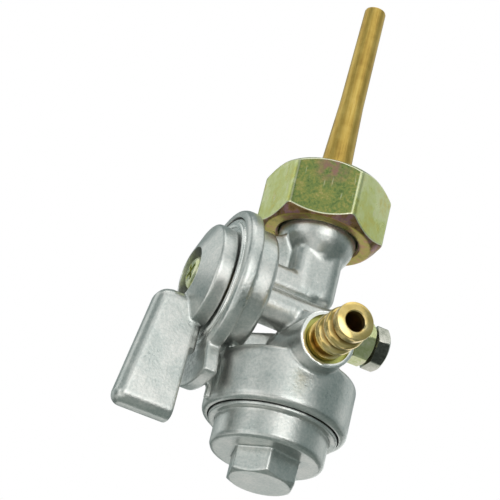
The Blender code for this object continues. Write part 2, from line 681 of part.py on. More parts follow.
def body_bores():
    """Everything that is drilled, bored or cored out of the casting."""
    bores = [build_chamber_cavity(), build_stop_slot(), build_bowl_cavity()]

    # The standpipe's socket and the drilling below it, down to the inlet port
    socket_foot = NECK_TOP - PIPE_INSERT
    socket_top = NECK_TOP + CUT_MARGIN
    bores.append(rod("pipe_socket", PIPE_SOCKET_RADIUS, socket_foot, socket_top, sides=SMALL_ROUND))
    column_bore = PIPE_SOCKET_RADIUS - PIPE_STOP
    column_foot = INLET_Z - PORT_RADIUS
    bores.append(rod("column_bore", column_bore, column_foot, socket_foot + EMBED, sides=SMALL_ROUND))

    # The two ports in the chamber's floor
    port_end = FLOOR_OUT + EMBED
    inlet_at = (INLET_Z - VALVE_Z, INLET_Y)
    bores.append(rod("inlet_bore", PORT_RADIUS, 0.0, port_end, VALVE_FRAME, inlet_at, TINY_ROUND))
    thread_start = BOLT_HEAD_X - BOLT_LENGTH - SEAT_GAP
    port_start = -thread_start - EMBED
    outlet_at = (ARM_Z - VALVE_Z, ARM_Y)
    bores.append(rod("outlet_bore", PORT_RADIUS, port_start, port_end, VALVE_FRAME, outlet_at, TINY_ROUND))

    # The side bolt's thread, and the drilling from the arm down into the bowl
    thread_end = BOLT_BOSS_END + CUT_MARGIN
    bolt_bore = rod("bolt_bore", BOLT_BORE_RADIUS, thread_start, thread_end, ARM_FRAME, sides=SMALL_ROUND)
    bores.append(bolt_bore)
    drop_at = (INLET_DROP_SHIFT, ARM_Y)
    drop_foot = CEILING_Z - EMBED
    bores.append(rod("inlet_drop", INLET_DROP_RADIUS, drop_foot, ARM_Z, at=drop_at, sides=TINY_ROUND))

    # The way out: up from the filter, along the outlet and through the boss
    rise_top = OUTLET_Z
    bores.append(rod("outlet_rise", SPIGOT_BORE_RADIUS, drop_foot, rise_top, sides=SMALL_ROUND))
    press_radius = SPIGOT_PRESS_RADIUS + SLIDE_GAP
    recess_foot = BOSS_FACE - BOSS_RECESS_DEPTH
    press_foot = recess_foot - SPIGOT_PRESS_LENGTH - SEAT_GAP
    mouth = BOSS_FACE + CUT_MARGIN
    gallery_radius = SPIGOT_BORE_RADIUS
    back = -OUTLET_INNER_END
    gallery = rod("outlet_gallery", gallery_radius, back, recess_foot, SPIGOT_FRAME, sides=SMALL_ROUND)
    bores.append(gallery)
    bores.append(rod("spigot_bore", press_radius, press_foot, mouth, SPIGOT_FRAME, sides=SMALL_ROUND))
    bores.append(rod("boss_recess", BOSS_RECESS_RADIUS, recess_foot, mouth, SPIGOT_FRAME))
    return bores


def stop_half_angle(radius):
    """Half the angle, in degrees, that the rotor's stop lug takes up at a radius."""
    return degrees(asin(STOP_LUG_WIDTH / 2 / radius))


def build_stop_slot():
    """Arc slot in the chamber's wall that limits the rotor's quarter turn."""
    play = degrees(SLIDE_GAP / CHAMBER_BORE_RADIUS)
    reach = stop_half_angle(CHAMBER_BORE_RADIUS) + play
    start = -LEVER_TURN - reach
    end = reach
    inner = arc_points(CHAMBER_BORE_RADIUS - EMBED, start, end, 10)
    outer = arc_points(STOP_LUG_RADIUS + SLIDE_GAP, end, start, 12)
    slot_start = ROTOR_OUT - SEAT_GAP
    slot_end = COVER_OUT
    frame = VALVE_FRAME @ Matrix.Translation((0.0, 0.0, (slot_start + slot_end) / 2))
    return plate("stop_slot", inner + outer, slot_end - slot_start, frame)


def build_body():
    """The die-cast body, one piece."""
    body = build_housing()
    boss = rod(
        "spigot_boss", BOSS_ROOT_RADIUS, -ARM_RADIUS, BOSS_FACE, SPIGOT_FRAME, end_radius=BOSS_RIM_RADIUS)
    riser_at = (RISER_SHIFT, ARM_Y)
    riser = rod("riser", RISER_RADIUS, HOUSING_TOP - HOUSING_TOP_ROUND, ARM_Z, at=riser_at)
    arm = rod("outlet_arm", ARM_RADIUS, -CHAMBER_BACK - EMBED, BOLT_BOSS_END - EMBED, ARM_FRAME)
    shapes = [
        boss,
        riser,
        arm,
        rod("bolt_boss", BOLT_BOSS_RADIUS, BOLT_BOSS_START, BOLT_BOSS_END, ARM_FRAME),
        build_inlet_block(),
        build_column(),
        build_neck(),
        build_neck_web(),
        build_foot_web(),
        build_flange(),
        build_position_plate(),
        build_flash_rib(),
    ]
    join_group(body, "body_shapes", shapes, "UNION")
    join_group(body, "body_bores", body_bores(), "DIFFERENCE")
    finish_piece(body, CAST_ALLOY)


def build_tank_seal():
    inner = PIPE_SOCKET_RADIUS
    profile = [
        (inner, 0.0, 0.0),
        (SEAL_RADIUS, 0.0, EDGE_EASE),
        (SEAL_RADIUS, -SEAL_THICKNESS, EDGE_EASE),
        (inner, -SEAL_THICKNESS, 0.0),
    ]
    seal = turned("tank_seal", profile, closed=True, steps=2)
    finish_piece(seal, BLACK_RUBBER)


def build_union_nut():
    """Captive hexagon nut: shoulder at its foot, M20 thread core above it."""
    nut = hexagon("union_nut", NUT_ACROSS_FLATS, NUT_FOOT, NUT_FOOT + NUT_HEIGHT, MAIN_FRAME, NUT_TURN)
    top = NUT_FOOT + NUT_HEIGHT
    trim = corner_trim("nut_trim", NUT_ACROSS_FLATS, NUT_FOOT, top, NUT_CORNER_SLOPE, MAIN_FRAME)
    combine(nut, trim, "INTERSECT")
    shoulder_top = NUT_FOOT + NUT_SHOULDER
    hole = NUT_SHOULDER_RADIUS
    profile = [
        (0.0, top + CUT_MARGIN, 0.0),
        (NUT_CORE_RADIUS + NUT_MOUTH_CHAMFER + CUT_MARGIN, top + CUT_MARGIN, 0.0),
        (NUT_CORE_RADIUS, top - NUT_MOUTH_CHAMFER, 0.0),
        (NUT_CORE_RADIUS, shoulder_top, 0.0),
        (hole, shoulder_top, 0.0),
        (hole, NUT_FOOT + NUT_FOOT_CHAMFER, 0.0),
        (hole + NUT_FOOT_CHAMFER + CUT_MARGIN, NUT_FOOT - CUT_MARGIN, 0.0),
        (0.0, NUT_FOOT - CUT_MARGIN, 0.0),
    ]
    combine(nut, turned("nut_bore", profile, cutter=True), "DIFFERENCE")
    finish_piece(nut, YELLOW_ZINC, 20.0)


def build_standpipe():
    """Tapered brass pipe, open at both ends, pressed into the neck."""
    foot = NECK_TOP - PIPE_INSERT + SEAT_GAP
    profile = [
        (PIPE_TIP_RADIUS - PIPE_WALL, PIPE_RISE, PIPE_LIP),
        (PIPE_TIP_RADIUS, PIPE_RISE, PIPE_LIP),
        (PIPE_KINK_RADIUS, PIPE_KINK_RISE, 0.0),
        (PIPE_FOOT_RADIUS, PIPE_TAPER_RISE, 0.0),
        (PIPE_FOOT_RADIUS, foot, 0.0),
        (PIPE_FOOT_RADIUS - PIPE_WALL, foot, 0.0),
        (PIPE_FOOT_RADIUS - PIPE_WALL, PIPE_TAPER_RISE, 0.0),
        (PIPE_KINK_RADIUS - PIPE_WALL, PIPE_KINK_RISE, 0.0),
    ]
    pivot = Matrix.Translation((0.0, 0.0, NECK_TOP))
    frame = pivot @ Matrix.Rotation(radians(PIPE_LEAN), 4, "Y") @ pivot.inverted()
    pipe = turned("standpipe", profile, frame, SMALL_ROUND, closed=True, steps=3)
    finish_piece(pipe, BRASS)


def build_hose_spigot():
    """Turned brass hose spigot with rounded ridges, pressed into its boss."""
    back = BOSS_FACE - BOSS_RECESS_DEPTH - SPIGOT_PRESS_LENGTH
    face = BOSS_FACE + SPIGOT_REACH
    profile = [
        (SPIGOT_BORE_RADIUS, face, 0.0),
        (SPIGOT_TIP_RADIUS, face, SPIGOT_TIP_ROUND),
        (SPIGOT_TIP_RADIUS, face - SPIGOT_TIP_LENGTH, 0.0),
        (SPIGOT_GROOVE_RADIUS, face - SPIGOT_TIP_LENGTH - SPIGOT_TIP_SLOPE, 0.0),
    ]
    first_ridge = face - SPIGOT_TIP_LENGTH - SPIGOT_TIP_SLOPE - SPIGOT_TIP_GROOVE
    for ridge in range(SPIGOT_RIDGE_COUNT):
        top = first_ridge - ridge * SPIGOT_RIDGE_PITCH
        foot = top - SPIGOT_RIDGE_LENGTH
        profile.append((SPIGOT_GROOVE_RADIUS, top, 0.0))
        profile.append((SPIGOT_RIDGE_RADIUS, top - SPIGOT_RIDGE_SLOPE, SPIGOT_RIDGE_ROUND))
        profile.append((SPIGOT_RIDGE_RADIUS, foot + SPIGOT_RIDGE_SLOPE, SPIGOT_RIDGE_ROUND))
        profile.append((SPIGOT_GROOVE_RADIUS, foot, 0.0))
    recess_foot = BOSS_FACE - BOSS_RECESS_DEPTH + SEAT_GAP
    profile.append((SPIGOT_GROOVE_RADIUS, recess_foot + SPIGOT_SHOULDER, 0.0))
    profile.append((SPIGOT_BASE_RADIUS, recess_foot + SPIGOT_SHOULDER, 0.0))
    profile.append((SPIGOT_BASE_RADIUS, recess_foot, 0.0))
    profile.append((SPIGOT_PRESS_RADIUS, recess_foot, 0.0))
    profile.append((SPIGOT_PRESS_RADIUS, back, 0.0))
    profile.append((SPIGOT_BORE_RADIUS, back, 0.0))
    spigot = turned("hose_spigot", profile, SPIGOT_FRAME, MEDIUM_ROUND, closed=True, steps=3)
    finish_piece(spigot, BRASS)


def build_bowl():
    """Cast bowl: threaded wall, thin flange, cup and a hexagon below."""
    thread_top = HOUSING_FOOT + BOWL_THREAD_LENGTH
    flange_foot = HOUSING_FOOT - BOWL_FLANGE_THICKNESS
    profile = [
        (0.0, BOWL_BOTTOM + BOWL_FLOOR, 0.0),
        (BOWL_INNER_RADIUS, BOWL_BOTTOM + BOWL_FLOOR, BOWL_BOTTOM_ROUND),
        (BOWL_INNER_RADIUS, thread_top, 0.0),
        (BOWL_THREAD_RADIUS, thread_top, 0.0),
        (BOWL_THREAD_RADIUS, HOUSING_FOOT, 0.0),
        (BOWL_FLANGE_RADIUS, HOUSING_FOOT, 0.0),
        (BOWL_FLANGE_RADIUS, flange_foot, EDGE_EASE),
        (BOWL_RADIUS, flange_foot, 0.0),
        (BOWL_RADIUS, BOWL_BOTTOM, BOWL_BOTTOM_ROUND),
        (0.0, BOWL_BOTTOM, 0.0),
    ]
    bowl = turned("sediment_bowl", profile, steps=3)
    foot = BOWL_BOTTOM - BOWL_HEX_HEIGHT
    hexagon_top = BOWL_BOTTOM + BOWL_FLOOR / 2
    boss = hexagon("bowl_hexagon", BOWL_HEX_FLATS, foot, hexagon_top, MAIN_FRAME, BOWL_HEX_TURN, True)
    upside_down = Matrix.Rotation(pi, 4, "X")
    trim = corner_trim(
        "hexagon_trim", BOWL_HEX_FLATS, -hexagon_top, -foot, BOWL_HEX_SLOPE, upside_down, both=False)
    combine(boss, trim, "INTERSECT")
    combine(bowl, boss, "UNION")
    finish_piece(bowl, CAST_ALLOY)


def ring_of(name, middle_radius, section_radius, height, frame, material):
    """Round-section rubber ring lying flat in the frame at a height."""
    mesh = bpy.data.meshes.new(name)
    shape = bmesh.new()
    points = []
    for step in range(RING_SIDES):
        angle = -2 * pi * step / RING_SIDES
        across = middle_radius + section_radius * cos(angle)
        points.append(shape.verts.new((across, 0.0, height + section_radius * sin(angle))))
    for first, second in zip(points, points[1:] + points[:1]):
        shape.edges.new((first, second))
    shape.to_mesh(mesh)
    shape.free()
    ring = link_mesh(name, mesh, frame, False)
    screw = ring.modifiers.new("turn", "SCREW")
    screw.steps = MEDIUM_ROUND
    screw.render_steps = MEDIUM_ROUND
    screw.use_merge_vertices = True
    screw.merge_threshold = MERGE
    finish_piece(ring, material)
    return ring


def build_bowl_seal():
    """Rubber ring between the bowl's flange and the housing's seat."""
    height = HOUSING_FOOT + SEAT_GAP + BOWL_SEAL_SECTION
    ring_of("bowl_seal", BOWL_SEAL_RADIUS, BOWL_SEAL_SECTION, height, MAIN_FRAME, BLACK_RUBBER)


def build_filter():
    """Moulded cage with four posts, and the gauze sleeve inside it."""
    top = CEILING_Z + FILTER_SINK
    foot = top - FILTER_HEIGHT
    inner = FILTER_RADIUS - FILTER_WALL
    profile = [
        (0.0, foot + FILTER_BASE, 0.0),
        (inner, foot + FILTER_BASE, 0.0),
        (inner, top, 0.0),
        (FILTER_RADIUS, top, 0.0),
        (FILTER_RADIUS, foot, 0.0),
        (0.0, foot, 0.0),
    ]
    cage = turned("filter_cage", profile, sides=MEDIUM_ROUND)
    window_span = 360.0 / FILTER_POSTS - degrees(FILTER_POST_WIDTH / FILTER_RADIUS)
    window_foot = foot + FILTER_BASE + FILTER_SILL
    window_top = top - FILTER_RIM
    for index in range(FILTER_POSTS):
        middle = 360.0 * index / FILTER_POSTS
        near = arc_points(inner - EMBED, middle - window_span / 2, middle + window_span / 2, 4)
        far = arc_points(FILTER_RADIUS + EMBED, middle + window_span / 2, middle - window_span / 2, 5)
        place = Matrix.Translation((0.0, 0.0, (window_foot + window_top) / 2))
        window = plate(f"filter_window_{index + 1}", near + far, window_top - window_foot, place)
        combine(cage, window, "DIFFERENCE")
    finish_piece(cage, NYLON)
    outer = inner - SLIDE_GAP
    sleeve_foot = foot + FILTER_BASE + SEAT_GAP
    sleeve = [
        (outer - GAUZE_THICKNESS, top - SEAT_GAP, 0.0),
        (outer, top - SEAT_GAP, 0.0),
        (outer, sleeve_foot, 0.0),
        (outer - GAUZE_THICKNESS, sleeve_foot, 0.0),
    ]
    gauze = turned("filter_gauze", sleeve, sides=SMALL_ROUND, closed=True)
    finish_piece(gauze, BRASS)


def build_side_bolt():
    """Hexagon-head bolt, its plated nut and washer, on the outlet arm's axis."""
    head_end = BOLT_HEAD_X + BOLT_HEAD_HEIGHT
    bolt = hexagon("side_bolt", BOLT_FLATS, BOLT_HEAD_X, head_end, ARM_FRAME)
    slope = BOLT_CORNER_SLOPE
    trim = corner_trim("bolt_trim", BOLT_FLATS, BOLT_HEAD_X, head_end, slope, ARM_FRAME, both=False)
    combine(bolt, trim, "INTERSECT")
    tip = BOLT_HEAD_X - BOLT_LENGTH
    shank = [
        (0.0, BOLT_HEAD_X + EMBED, 0.0),
        (BOLT_RADIUS, BOLT_HEAD_X + EMBED, 0.0),
        (BOLT_RADIUS, tip + BOLT_TIP_CHAMFER, 0.0),
        (BOLT_RADIUS - BOLT_TIP_CHAMFER, tip, 0.0),
        (0.0, tip, 0.0),
    ]
    combine(bolt, turned("bolt_shank", shank, ARM_FRAME, SMALL_ROUND, cutter=True), "UNION")
    finish_piece(bolt, BRIGHT_ZINC, 20.0)

    nut_end = BOLT_NUT_X + BOLT_NUT_HEIGHT
    nut = hexagon("side_nut", BOLT_FLATS, BOLT_NUT_X, nut_end, ARM_FRAME)
    nut_trim = corner_trim("side_nut_trim", BOLT_FLATS, BOLT_NUT_X, nut_end, BOLT_CORNER_SLOPE, ARM_FRAME)
    combine(nut, nut_trim, "INTERSECT")
    bore_start = BOLT_NUT_X - CUT_MARGIN
    bore_end = nut_end + CUT_MARGIN
    nut_bore = rod("side_nut_bore", BOLT_BORE_RADIUS, bore_start, bore_end, ARM_FRAME, sides=SMALL_ROUND)
    combine(nut, nut_bore, "DIFFERENCE")
    finish_piece(nut, YELLOW_ZINC, 20.0)

    washer_end = BOLT_WASHER_X + BOLT_WASHER_THICKNESS
    washer = turned("side_washer", [
        (BOLT_BORE_RADIUS, washer_end, 0.0),
        (BOLT_WASHER_RADIUS, washer_end, 0.0),
        (BOLT_WASHER_RADIUS, BOLT_WASHER_X, 0.0),
        (BOLT_BORE_RADIUS, BOLT_WASHER_X, 0.0),
    ], ARM_FRAME, MEDIUM_ROUND, closed=True)
    finish_piece(washer, YELLOW_ZINC)


def build_gasket():
    """Rubber port gasket on the chamber's floor, with its two port holes."""
    face = GASKET_OUT + GASKET_THICKNESS
    gasket = rod("valve_gasket", GASKET_RADIUS, GASKET_OUT, face, VALVE_FRAME, cutter=False)
    for name, place in (("inlet", (INLET_Z - VALVE_Z, INLET_Y)), ("outlet", (ARM_Z - VALVE_Z, ARM_Y))):
        start = GASKET_OUT - CUT_MARGIN
        end = face + CUT_MARGIN
        hole = rod(f"gasket_{name}_hole", PORT_RADIUS, start, end, VALVE_FRAME, place, TINY_ROUND)
        combine(gasket, hole, "DIFFERENCE")
    finish_piece(gasket, BLACK_RUBBER)


def build_rotor():
    """Rotor disc with a port groove, a stop lug, a stem and two flats for the lever."""
    tip_end = STEM_SHOULDER + SEAT_GAP + STEM_TIP_LENGTH
    profile = [
        (0.0, STEM_SHOULDER, 0.0),
        (STEM_RADIUS, STEM_SHOULDER, 0.0),
        (STEM_RADIUS, ROTOR_BACK, 0.0),
        (ROTOR_RADIUS, ROTOR_BACK, 0.0),
        (ROTOR_RADIUS, ROTOR_OUT, 0.0),
        (0.0, ROTOR_OUT, 0.0),
    ]
    rotor = turned("valve_rotor", profile, VALVE_FRAME, MEDIUM_ROUND)
    half_flats = STEM_FLATS / 2
    outline = two_flats(STEM_TIP_RADIUS, half_flats)
    tip_middle = (STEM_SHOULDER - EMBED + tip_end) / 2
    tip_frame = VALVE_FRAME @ Matrix.Translation((0.0, 0.0, tip_middle))
    tip = plate("stem_tip", outline, tip_end - STEM_SHOULDER + EMBED, tip_frame)
    lug_low = (STEM_RADIUS + EMBED, -STOP_LUG_WIDTH / 2, ROTOR_OUT)
    lug_high = (STOP_LUG_RADIUS, STOP_LUG_WIDTH / 2, ROTOR_BACK)
    lug = box("stop_lug", lug_low, lug_high, VALVE_FRAME)
    join_all(rotor, [tip, lug])
    screw_foot = SCREW_SEAT - SCREW_LENGTH - SEAT_GAP
    screw_mouth = tip_end + CUT_MARGIN
    bore = rod("screw_bore", SCREW_BORE_RADIUS, screw_foot, screw_mouth, VALVE_FRAME, sides=TINY_ROUND)
    inlet_turn = 90.0 - INLET_ANGLE
    outlet_turn = -(OUTLET_ANGLE - 90.0)
    inner = PORT_CIRCLE_RADIUS - PORT_RADIUS
    outer = PORT_CIRCLE_RADIUS + PORT_RADIUS
    side = degrees(PORT_RADIUS / PORT_CIRCLE_RADIUS)
    groove_outline = arc_points(inner, outlet_turn - side, inlet_turn + side, 10)
    groove_outline += arc_points(outer, inlet_turn + side, outlet_turn - side, 12)
    groove_start = ROTOR_OUT - CUT_MARGIN
    groove_end = ROTOR_OUT + ROTOR_GROOVE_DEPTH
    groove_frame = VALVE_FRAME @ Matrix.Translation((0.0, 0.0, (groove_start + groove_end) / 2))
    groove = plate("port_groove", groove_outline, groove_end - groove_start, groove_frame)
    cut_all(rotor, [bore, groove])
    finish_piece(rotor, BRASS)


def build_stem_seal():
    """Rubber ring round the stem, under the cover."""
    room = (COVER_OUT - ROTOR_BACK) / 2
    section = room - STEM_SEAL_GAP
    middle = STEM_RADIUS + STEM_SEAL_GAP + section
    height = ROTOR_BACK + room
    ring_of("stem_seal", middle, section, height, VALVE_FRAME, BLACK_RUBBER)


def build_wave_spring():
    """Thin wavy ring that presses the rotor against the gasket."""
    mesh = bpy.data.meshes.new("wave_spring")
    shape = bmesh.new()
    rings = []
    sides = MEDIUM_ROUND
    for step in range(sides):
        angle = 2 * pi * step / sides
        wave = SPRING_OUT + SPRING_WAVE * sin(SPRING_WAVES * angle)
        row = []
        for radius, height in (
            (SPRING_INNER_RADIUS, wave),
            (SPRING_INNER_RADIUS, wave + SPRING_THICKNESS),
            (SPRING_OUTER_RADIUS, wave + SPRING_THICKNESS),
            (SPRING_OUTER_RADIUS, wave),
        ):
            row.append(shape.verts.new((radius * cos(angle), radius * sin(angle), height)))
        rings.append(row)
    for row, following in zip(rings, rings[1:] + rings[:1]):
        for corner in range(4):
            after = (corner + 1) % 4
            shape.faces.new((row[corner], row[after], following[after], following[corner]))
    bmesh.ops.recalc_face_normals(shape, faces=shape.faces)
    shape.to_mesh(mesh)
    shape.free()
    finish_piece(link_mesh("wave_spring", mesh, VALVE_FRAME, False), SPRING_STEEL)


def build_cover():
    """Pressed cover ring that closes the valve chamber round the stem."""
    inner = STEM_RADIUS + SLIDE_GAP
    profile = [
        (inner, COVER_FACE, 0.0),
        (COVER_RADIUS, COVER_FACE, EDGE_EASE),
        (COVER_RADIUS, COVER_OUT, 0.0),
        (inner, COVER_OUT, 0.0),
    ]
    cover = turned("cover_ring", profile, VALVE_FRAME, closed=True, steps=2)
    finish_piece(cover, BRIGHT_ZINC)


def wing_outline():
    """Outline of the lever's wing; across is world X, along is height from the valve axis."""
    tab_end = -HUB_BACK - TAB_CLEARANCE
    corners = [
        (-HUB_EDGE + EMBED, -WING_TOP_RADIUS, 0.0),
        (tab_end, -TAB_TOP_RADIUS, 0.0),
        (tab_end, -TAB_FOOT_RADIUS, 0.0),
        (-WING_INNER, -TAB_FOOT_RADIUS - TAB_SLOPE, 0.0),
        (-WING_INNER, -WING_FOOT_RADIUS, WING_INNER_CORNER),
        (-WING_FOOT_OUT, -WING_FOOT_RADIUS, WING_CORNER),
        (-WING_TOP_OUT, -WING_TOP_RADIUS - WING_TOP_SLOPE, WING_CORNER),
        (-HUB_TOP - EMBED, -WING_TOP_RADIUS, 0.0),
    ]
    return round_corners(corners)


def build_lever():
    """Lever: dished hub, wing that hangs from it and the tab that points at the plate."""
    profile = [
        (0.0, WEB_FACE, 0.0),
        (POCKET_RADIUS, WEB_FACE, 0.0),
        (POCKET_RADIUS, HUB_TOP, 0.0),
        (HUB_RADIUS, HUB_EDGE, HUB_ROUND),
        (HUB_RADIUS, HUB_BACK, 0.0),
        (0.0, HUB_BACK, 0.0),
    ]
    lever = turned("lever", profile, VALVE_FRAME)
    wing_frame = Matrix.Translation((0.0, WING_SHIFT, VALVE_Z)) @ ALONG_MINUS_Y
    wing = plate("wing", wing_outline(), WING_THICKNESS, wing_frame)
    bevel = wing.modifiers.new("round", "BEVEL")
    bevel.width = WING_ROUND
    bevel.segments = 3
    bevel.limit_method = "ANGLE"
    bevel.angle_limit = radians(60)
    combine(lever, wing, "UNION")
    half_flats = STEM_FLATS / 2 + SLIDE_GAP
    hole_radius = STEM_TIP_RADIUS + SLIDE_GAP
    outline = two_flats(hole_radius, half_flats)
    hole_start = HUB_BACK - CUT_MARGIN
    hole_end = WEB_FACE + CUT_MARGIN
    hole_frame = VALVE_FRAME @ Matrix.Translation((0.0, 0.0, (hole_start + hole_end) / 2))
    keyhole = plate("stem_hole", outline, hole_end - hole_start, hole_frame)
    combine(lever, keyhole, "DIFFERENCE")
    finish_piece(lever, CAST_ALLOY)


def build_lever_screw():
    """Pan-head screw with a cross recess, and the split washer under it."""
    head_end = SCREW_SEAT + SCREW_HEAD_HEIGHT
    tip = SCREW_SEAT - SCREW_LENGTH
    profile = [
        (0.0, head_end, 0.0),
        (SCREW_HEAD_RADIUS, head_end, SCREW_HEAD_ROUND),
        (SCREW_HEAD_RADIUS, SCREW_SEAT, 0.0),
        (SCREW_RADIUS, SCREW_SEAT, 0.0),
        (SCREW_RADIUS, tip, 0.0),
        (0.0, tip, 0.0),
    ]
    screw = turned("lever_screw", profile, VALVE_FRAME, SMALL_ROUND, steps=3)
    cross_foot = head_end - SCREW_CROSS_DEPTH
    half_width = SCREW_CROSS_WIDTH / 2
    half_span = SCREW_CROSS_SPAN / 2
    for index, (across, along) in enumerate(((half_width, half_span), (half_span, half_width))):
        low = (-across, -along, cross_foot)
        high = (across, along, head_end + CUT_MARGIN)
        turned_frame = VALVE_FRAME @ Matrix.Rotation(radians(SCREW_CROSS_TURN), 4, "Z")
        combine(screw, box(f"cross_{index + 1}", low, high, turned_frame), "DIFFERENCE")
    finish_piece(screw, YELLOW_ZINC)

    washer_end = WASHER_OUT + WASHER_THICKNESS
    washer = turned("lever_washer", [
        (SCREW_BORE_RADIUS, washer_end, 0.0),
        (WASHER_RADIUS, washer_end, 0.0),
        (WASHER_RADIUS, WASHER_OUT, 0.0),
        (SCREW_BORE_RADIUS, WASHER_OUT, 0.0),
    ], VALVE_FRAME, SMALL_ROUND, closed=True)
    split_low = (0.0, -WASHER_SPLIT / 2, WASHER_OUT - CUT_MARGIN)
    split_high = (WASHER_RADIUS + CUT_MARGIN, WASHER_SPLIT / 2, washer_end + CUT_MARGIN)
    combine(washer, box("washer_split", split_low, split_high, VALVE_FRAME), "DIFFERENCE")
    finish_piece(washer, BRIGHT_ZINC)


build_body()
build_tank_seal()
build_union_nut()
build_standpipe()
build_hose_spigot()
build_bowl()
build_bowl_seal()
build_filter()
build_side_bolt()
build_gasket()
build_rotor()
build_stem_seal()
build_wave_spring()
build_cover()
build_lever()
build_lever_screw()
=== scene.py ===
"""Fuel tap for a small engine's tank: the looks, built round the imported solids.

The file follows the tap as it is put together: camera, stage, casting, tank joint, standpipe, hose
spigot, side bolt, valve, lever, bowl and filter. Metres, +Z up the standpipe, -X towards the lever,
-Y along the hose spigot.
"""
import bpy
from math import cos, pi, radians, sin, sqrt
from mathutils import Matrix, Vector


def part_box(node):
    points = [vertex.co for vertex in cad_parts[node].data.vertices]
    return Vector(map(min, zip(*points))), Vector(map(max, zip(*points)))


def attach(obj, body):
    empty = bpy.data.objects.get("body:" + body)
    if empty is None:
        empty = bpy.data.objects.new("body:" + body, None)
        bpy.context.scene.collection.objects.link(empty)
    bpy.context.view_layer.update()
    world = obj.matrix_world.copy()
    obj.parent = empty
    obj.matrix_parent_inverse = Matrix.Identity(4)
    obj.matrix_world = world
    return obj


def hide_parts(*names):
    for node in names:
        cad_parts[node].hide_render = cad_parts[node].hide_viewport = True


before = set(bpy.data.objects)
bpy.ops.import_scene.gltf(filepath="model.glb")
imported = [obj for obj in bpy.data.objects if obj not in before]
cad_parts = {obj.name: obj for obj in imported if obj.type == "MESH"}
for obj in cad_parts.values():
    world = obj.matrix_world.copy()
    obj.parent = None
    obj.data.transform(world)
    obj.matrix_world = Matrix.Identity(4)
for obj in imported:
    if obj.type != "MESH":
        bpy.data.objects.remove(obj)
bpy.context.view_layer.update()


# Camera
# It stands in front of the tap, to its left and well below it, and looks up at it, tilted to the right.
# A long lens, so that the nut and the bowl keep their sizes beside each other.
CAMERA_AT = (-0.126617, -0.340210, -0.188541)
CAMERA_TURN = (116.5576, -12.8096, -24.7277)   # degrees about X, Y and Z
LENS = 144.007                                 # millimetres, as is the sensor
SENSOR = 36.0

camera_data = bpy.data.cameras.new("camera")
camera_data.sensor_width = SENSOR
camera_data.lens = LENS
camera = bpy.data.objects.new("camera", camera_data)
bpy.context.scene.collection.objects.link(camera)
camera.location = CAMERA_AT
camera.rotation_euler = [radians(turn) for turn in CAMERA_TURN]
bpy.context.scene.camera = camera
bpy.context.scene.view_settings.view_transform = "Standard"


# Stage
# The tap hangs from its tank joint over a plain floor, among soft boxes and in a pale surround.
# Floor and surround are white to the camera alone: light and reflections get a dimmer grey-green.
class Shade:
    """A value in a material's nodes. Arithmetic on it adds the nodes that work it out."""

    def __init__(self, tree, socket=None):
        self.tree = tree
        self.socket = socket

    def node(self, kind, values=None, settings=None, stops=None, out=0):
        """Adds one node: its settings and ramp stops first, then the values or links of its sockets."""
        made = self.tree.nodes.new("ShaderNode" + kind)
        for name, value in (settings or {}).items():
            setattr(made, name, value)
        if stops:
            ramp = made.color_ramp
            while len(ramp.elements) < len(stops):
                ramp.elements.new(1.0)
            for element, (place, colour) in zip(ramp.elements, stops):
                element.position = place
                element.color = (*colour, 1.0)
        for name, value in (values or {}).items():
            if isinstance(value, Shade):
                self.tree.links.new(value.socket, made.inputs[name])
            else:
                made.inputs[name].default_value = value
        return Shade(self.tree, made.outputs[out])

    def object_place(self):
        """The position on the piece, in its own axes."""
        return self.node("TexCoord", out=3)

    def object_normal(self):
        """Which way the surface faces, in the piece's own axes."""
        return self.node("TexCoord", out=1)

    def sum_up(self, operation, first, second):
        return self.node("Math", {0: first, 1: second}, {"operation": operation})

    def __add__(self, other):
        return self.sum_up("ADD", self, other)

    def __sub__(self, other):
        return self.sum_up("SUBTRACT", self, other)

    def __rsub__(self, other):
        return self.sum_up("SUBTRACT", other, self)

    def __mul__(self, other):
        return self.sum_up("MULTIPLY", self, other)

    def __gt__(self, other):
        return self.sum_up("GREATER_THAN", self, other)

    def __lt__(self, other):
        return self.sum_up("LESS_THAN", self, other)

    __radd__ = __add__
    __rmul__ = __mul__

    def between(self, low, high):
        """0 below low, 1 above high, smooth in between."""
        values = {"Value": self, "From Min": low, "From Max": high}
        return self.node("MapRange", values, {"interpolation_type": "SMOOTHSTEP"})

    def blend(self, first, second):
        """A colour that goes from the first to the second as this value goes from 0 to 1."""
        made = self.tree.nodes.new("ShaderNodeMix")
        made.data_type = "RGBA"
        self.tree.links.new(self.socket, made.inputs["Factor"])
        for name, value in ((6, first), (7, second)):
            if isinstance(value, Shade):
                self.tree.links.new(value.socket, made.inputs[name])
            else:
                made.inputs[name].default_value = (*value, 1.0)
        return Shade(self.tree, made.outputs[2])

    def ramp(self, stops):
        """A colour picked by this value from stops of (value, colour)."""
        return self.node("ValToRGB", {"Fac": self}, stops=stops)

    def stretched(self, scale):
        """This position scaled along each axis."""
        return self.node("Mapping", {"Vector": self, "Scale": scale})

    def away_from(self, spot):
        """Distance of this position from a spot."""
        return self.node("VectorMath", {0: self, 1: spot}, {"operation": "DISTANCE"}, out=1)

    def along(self, direction):
        """How far this vector goes in a direction."""
        return self.node("VectorMath", {0: self, 1: direction}, {"operation": "DOT_PRODUCT"}, out=1)


def new_finish(name):
    """A material, its surface shader, and a Shade to build its nodes from."""
    material = bpy.data.materials.new(name)
    material.use_nodes = True
    return material, material.node_tree.nodes["Principled BSDF"], Shade(material.node_tree)


def white_to_camera(tree, white_kind, kept, output):
    """Shows plain white to the camera, and leaves what kept gives to light and reflections."""
    shade = Shade(tree)
    white = shade.node(white_kind, {"Color": (1.0, 1.0, 1.0, 1.0), "Strength": 1.0})
    seen = shade.node("LightPath")
    picked = shade.node("MixShader", {0: seen, 1: Shade(tree, kept), 2: white})
    tree.links.new(picked.socket, tree.nodes[output].inputs["Surface"])


